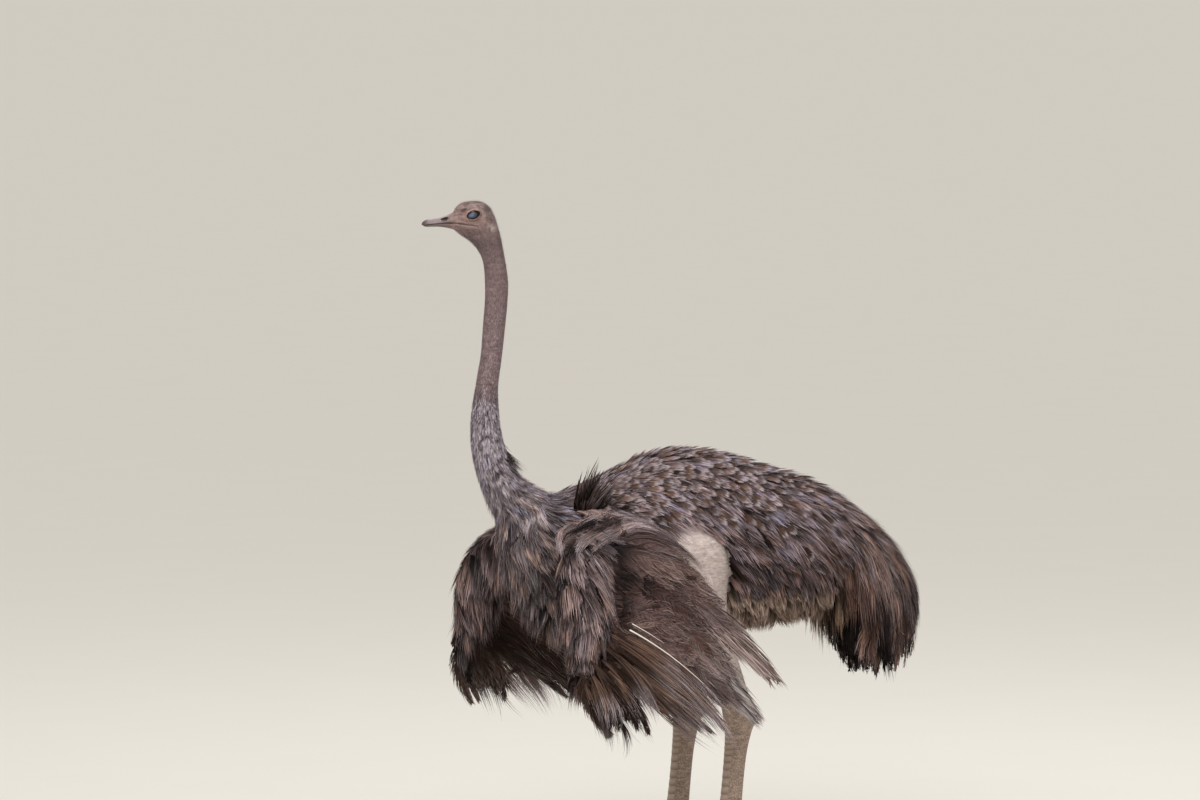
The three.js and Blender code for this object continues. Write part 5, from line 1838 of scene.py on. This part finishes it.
# A quill is smooth pale keratin, a little glossy and faintly clouded.
quill = new_material("quill_keratin")
quill_tone = clouded(quill, 90.0, SHAFT_WHITE * 0.8, SHAFT_WHITE)
shader(quill, Base_Color=quill_tone, Roughness=0.4, IOR=1.54)
for side, word in SIDES_OF.items():
    for name, shaft in SHAFTS.items():
        rod = make_piece(f"{word}_bare_{name}", *bare_shaft(side, shaft), material=quill)
        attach(rod, "root")

TUFTS = {
    "shoulder": {
        "at": (21.3, 0.98), "sides": [LEFT], "count": 30, "length": 176, "lean": (0.34, 0.05, 1.0),
        "fan": 0.26, "spread": (0.17, 0.1),
    },
    "nape": {
        "at": (16.15, 0.35), "sides": [LEFT, RIGHT], "count": 12, "length": 92, "lean": (0.5, 0.0, -0.87),
        "fan": 0.06, "spread": (0.25, 0.3),
    },
}
TUFT_LOCK = hackle(11, steps=4, half=0.02, aspect=0.17)
for name, tuft in TUFTS.items():
    rng = np.random.default_rng(80 + tuft["count"])
    sides = np.repeat(tuft["sides"], tuft["count"])
    stray = rng.normal(size=(2, len(sides)))
    u = tuft["at"][0] + tuft["spread"][0] * stray[0]
    v = sides * (tuft["at"][1] + tuft["spread"][1] * stray[1])
    root = body(u, v, coat_depth(u))
    normal = unit(body(u, v, 0 * u) - root)
    share = np.linspace(0, 1, 5)[None, :, None]
    reach = (tuft["length"] * (0.45 + 0.62 * rng.random(len(u))))[:, None, None]
    lean = unit(np.array(tuft["lean"]) * np.stack([1 + 0 * u, sides, 1 + 0 * u], -1) + 0.3 * normal)
    lean = unit(lean + tuft["fan"] * rng.normal(size=lean.shape) * [1, 0.4, 0.4])[:, None]
    curl = np.array([1.0, 0, -0.2]) * 0.12
    path = root[:, None] + lean * reach * share + curl * reach * share**2
    square = unit(normal - lean[:, 0] * (normal * lean[:, 0]).sum(-1, keepdims=True))
    normals = np.repeat(square[:, None], 5, 1)
    tint = toned(ZONES["breast"][None], 0.14 + 0.7 * rng.random(len(u)) ** 2)
    dress(
        f"{name}_tuft", TUFT_LOCK, path, normals, (0.11 + 0.05 * rng.random(len(u))) * tuft["length"], tint,
        body_uv(u, v), rng, tips=FRINGE, pale=0.35 * rng.random(len(u)), ruffle=1.4,
    )

# ---- Floor and light ----
# A pale matt plaster floor spreads far out on every side. One broad soft lamp lights her from the front and
# left, a second hangs overhead, and the rest is the even light of a pale room.
FLOOR_PALE = colour("#d9d5cd")
FLOOR_HALF = 600000.0

plaster = new_material("matt_plaster")
plaster_tone = clouded(plaster, 3.0, FLOOR_PALE * 0.97, FLOOR_PALE)
shader(plaster, Base_Color=plaster_tone, Roughness=0.9)
corners = np.array([[-1, -1, 0], [1, -1, 0], [1, 1, 0], [-1, 1, 0]]) * FLOOR_HALF
floor = make_piece("floor", corners, np.array([[0, 1, 2], [0, 2, 3]]), material=plaster)

KEY = {"place": (-3.0, -5.0, 5.5), "angle": np.radians(40), "energy": 2.0, "color": (1.0, 0.985, 0.965)}
TOP = {"place": (1.5, 1.0, 6.0), "size": 5.0, "energy": 170, "color": (0.97, 0.98, 1.0)}
AIM = Vector((0, 0, 0.9))
for name, kind, lamp in (("key", "SUN", KEY), ("top", "AREA", TOP)):
    light = bpy.data.objects.new(name, bpy.data.lights.new(name, kind))
    bpy.context.scene.collection.objects.link(light)
    for key in ("angle", "size", "energy", "color"):
        if key in lamp:
            setattr(light.data, key, lamp[key])
    light.location = lamp["place"]
    light.rotation_euler = (AIM - Vector(lamp["place"])).to_track_quat("-Z", "Y").to_euler()
SKY = (0.99, 0.965, 0.93, 1.0)
SKY_STRENGTH = 0.54
world = bpy.data.worlds.new("studio")
world.use_nodes = True
background = world.node_tree.nodes["Background"]
background.inputs["Color"].default_value = SKY
background.inputs["Strength"].default_value = SKY_STRENGTH
bpy.context.scene.world = world
bpy.context.scene.view_settings.view_transform = "Standard"
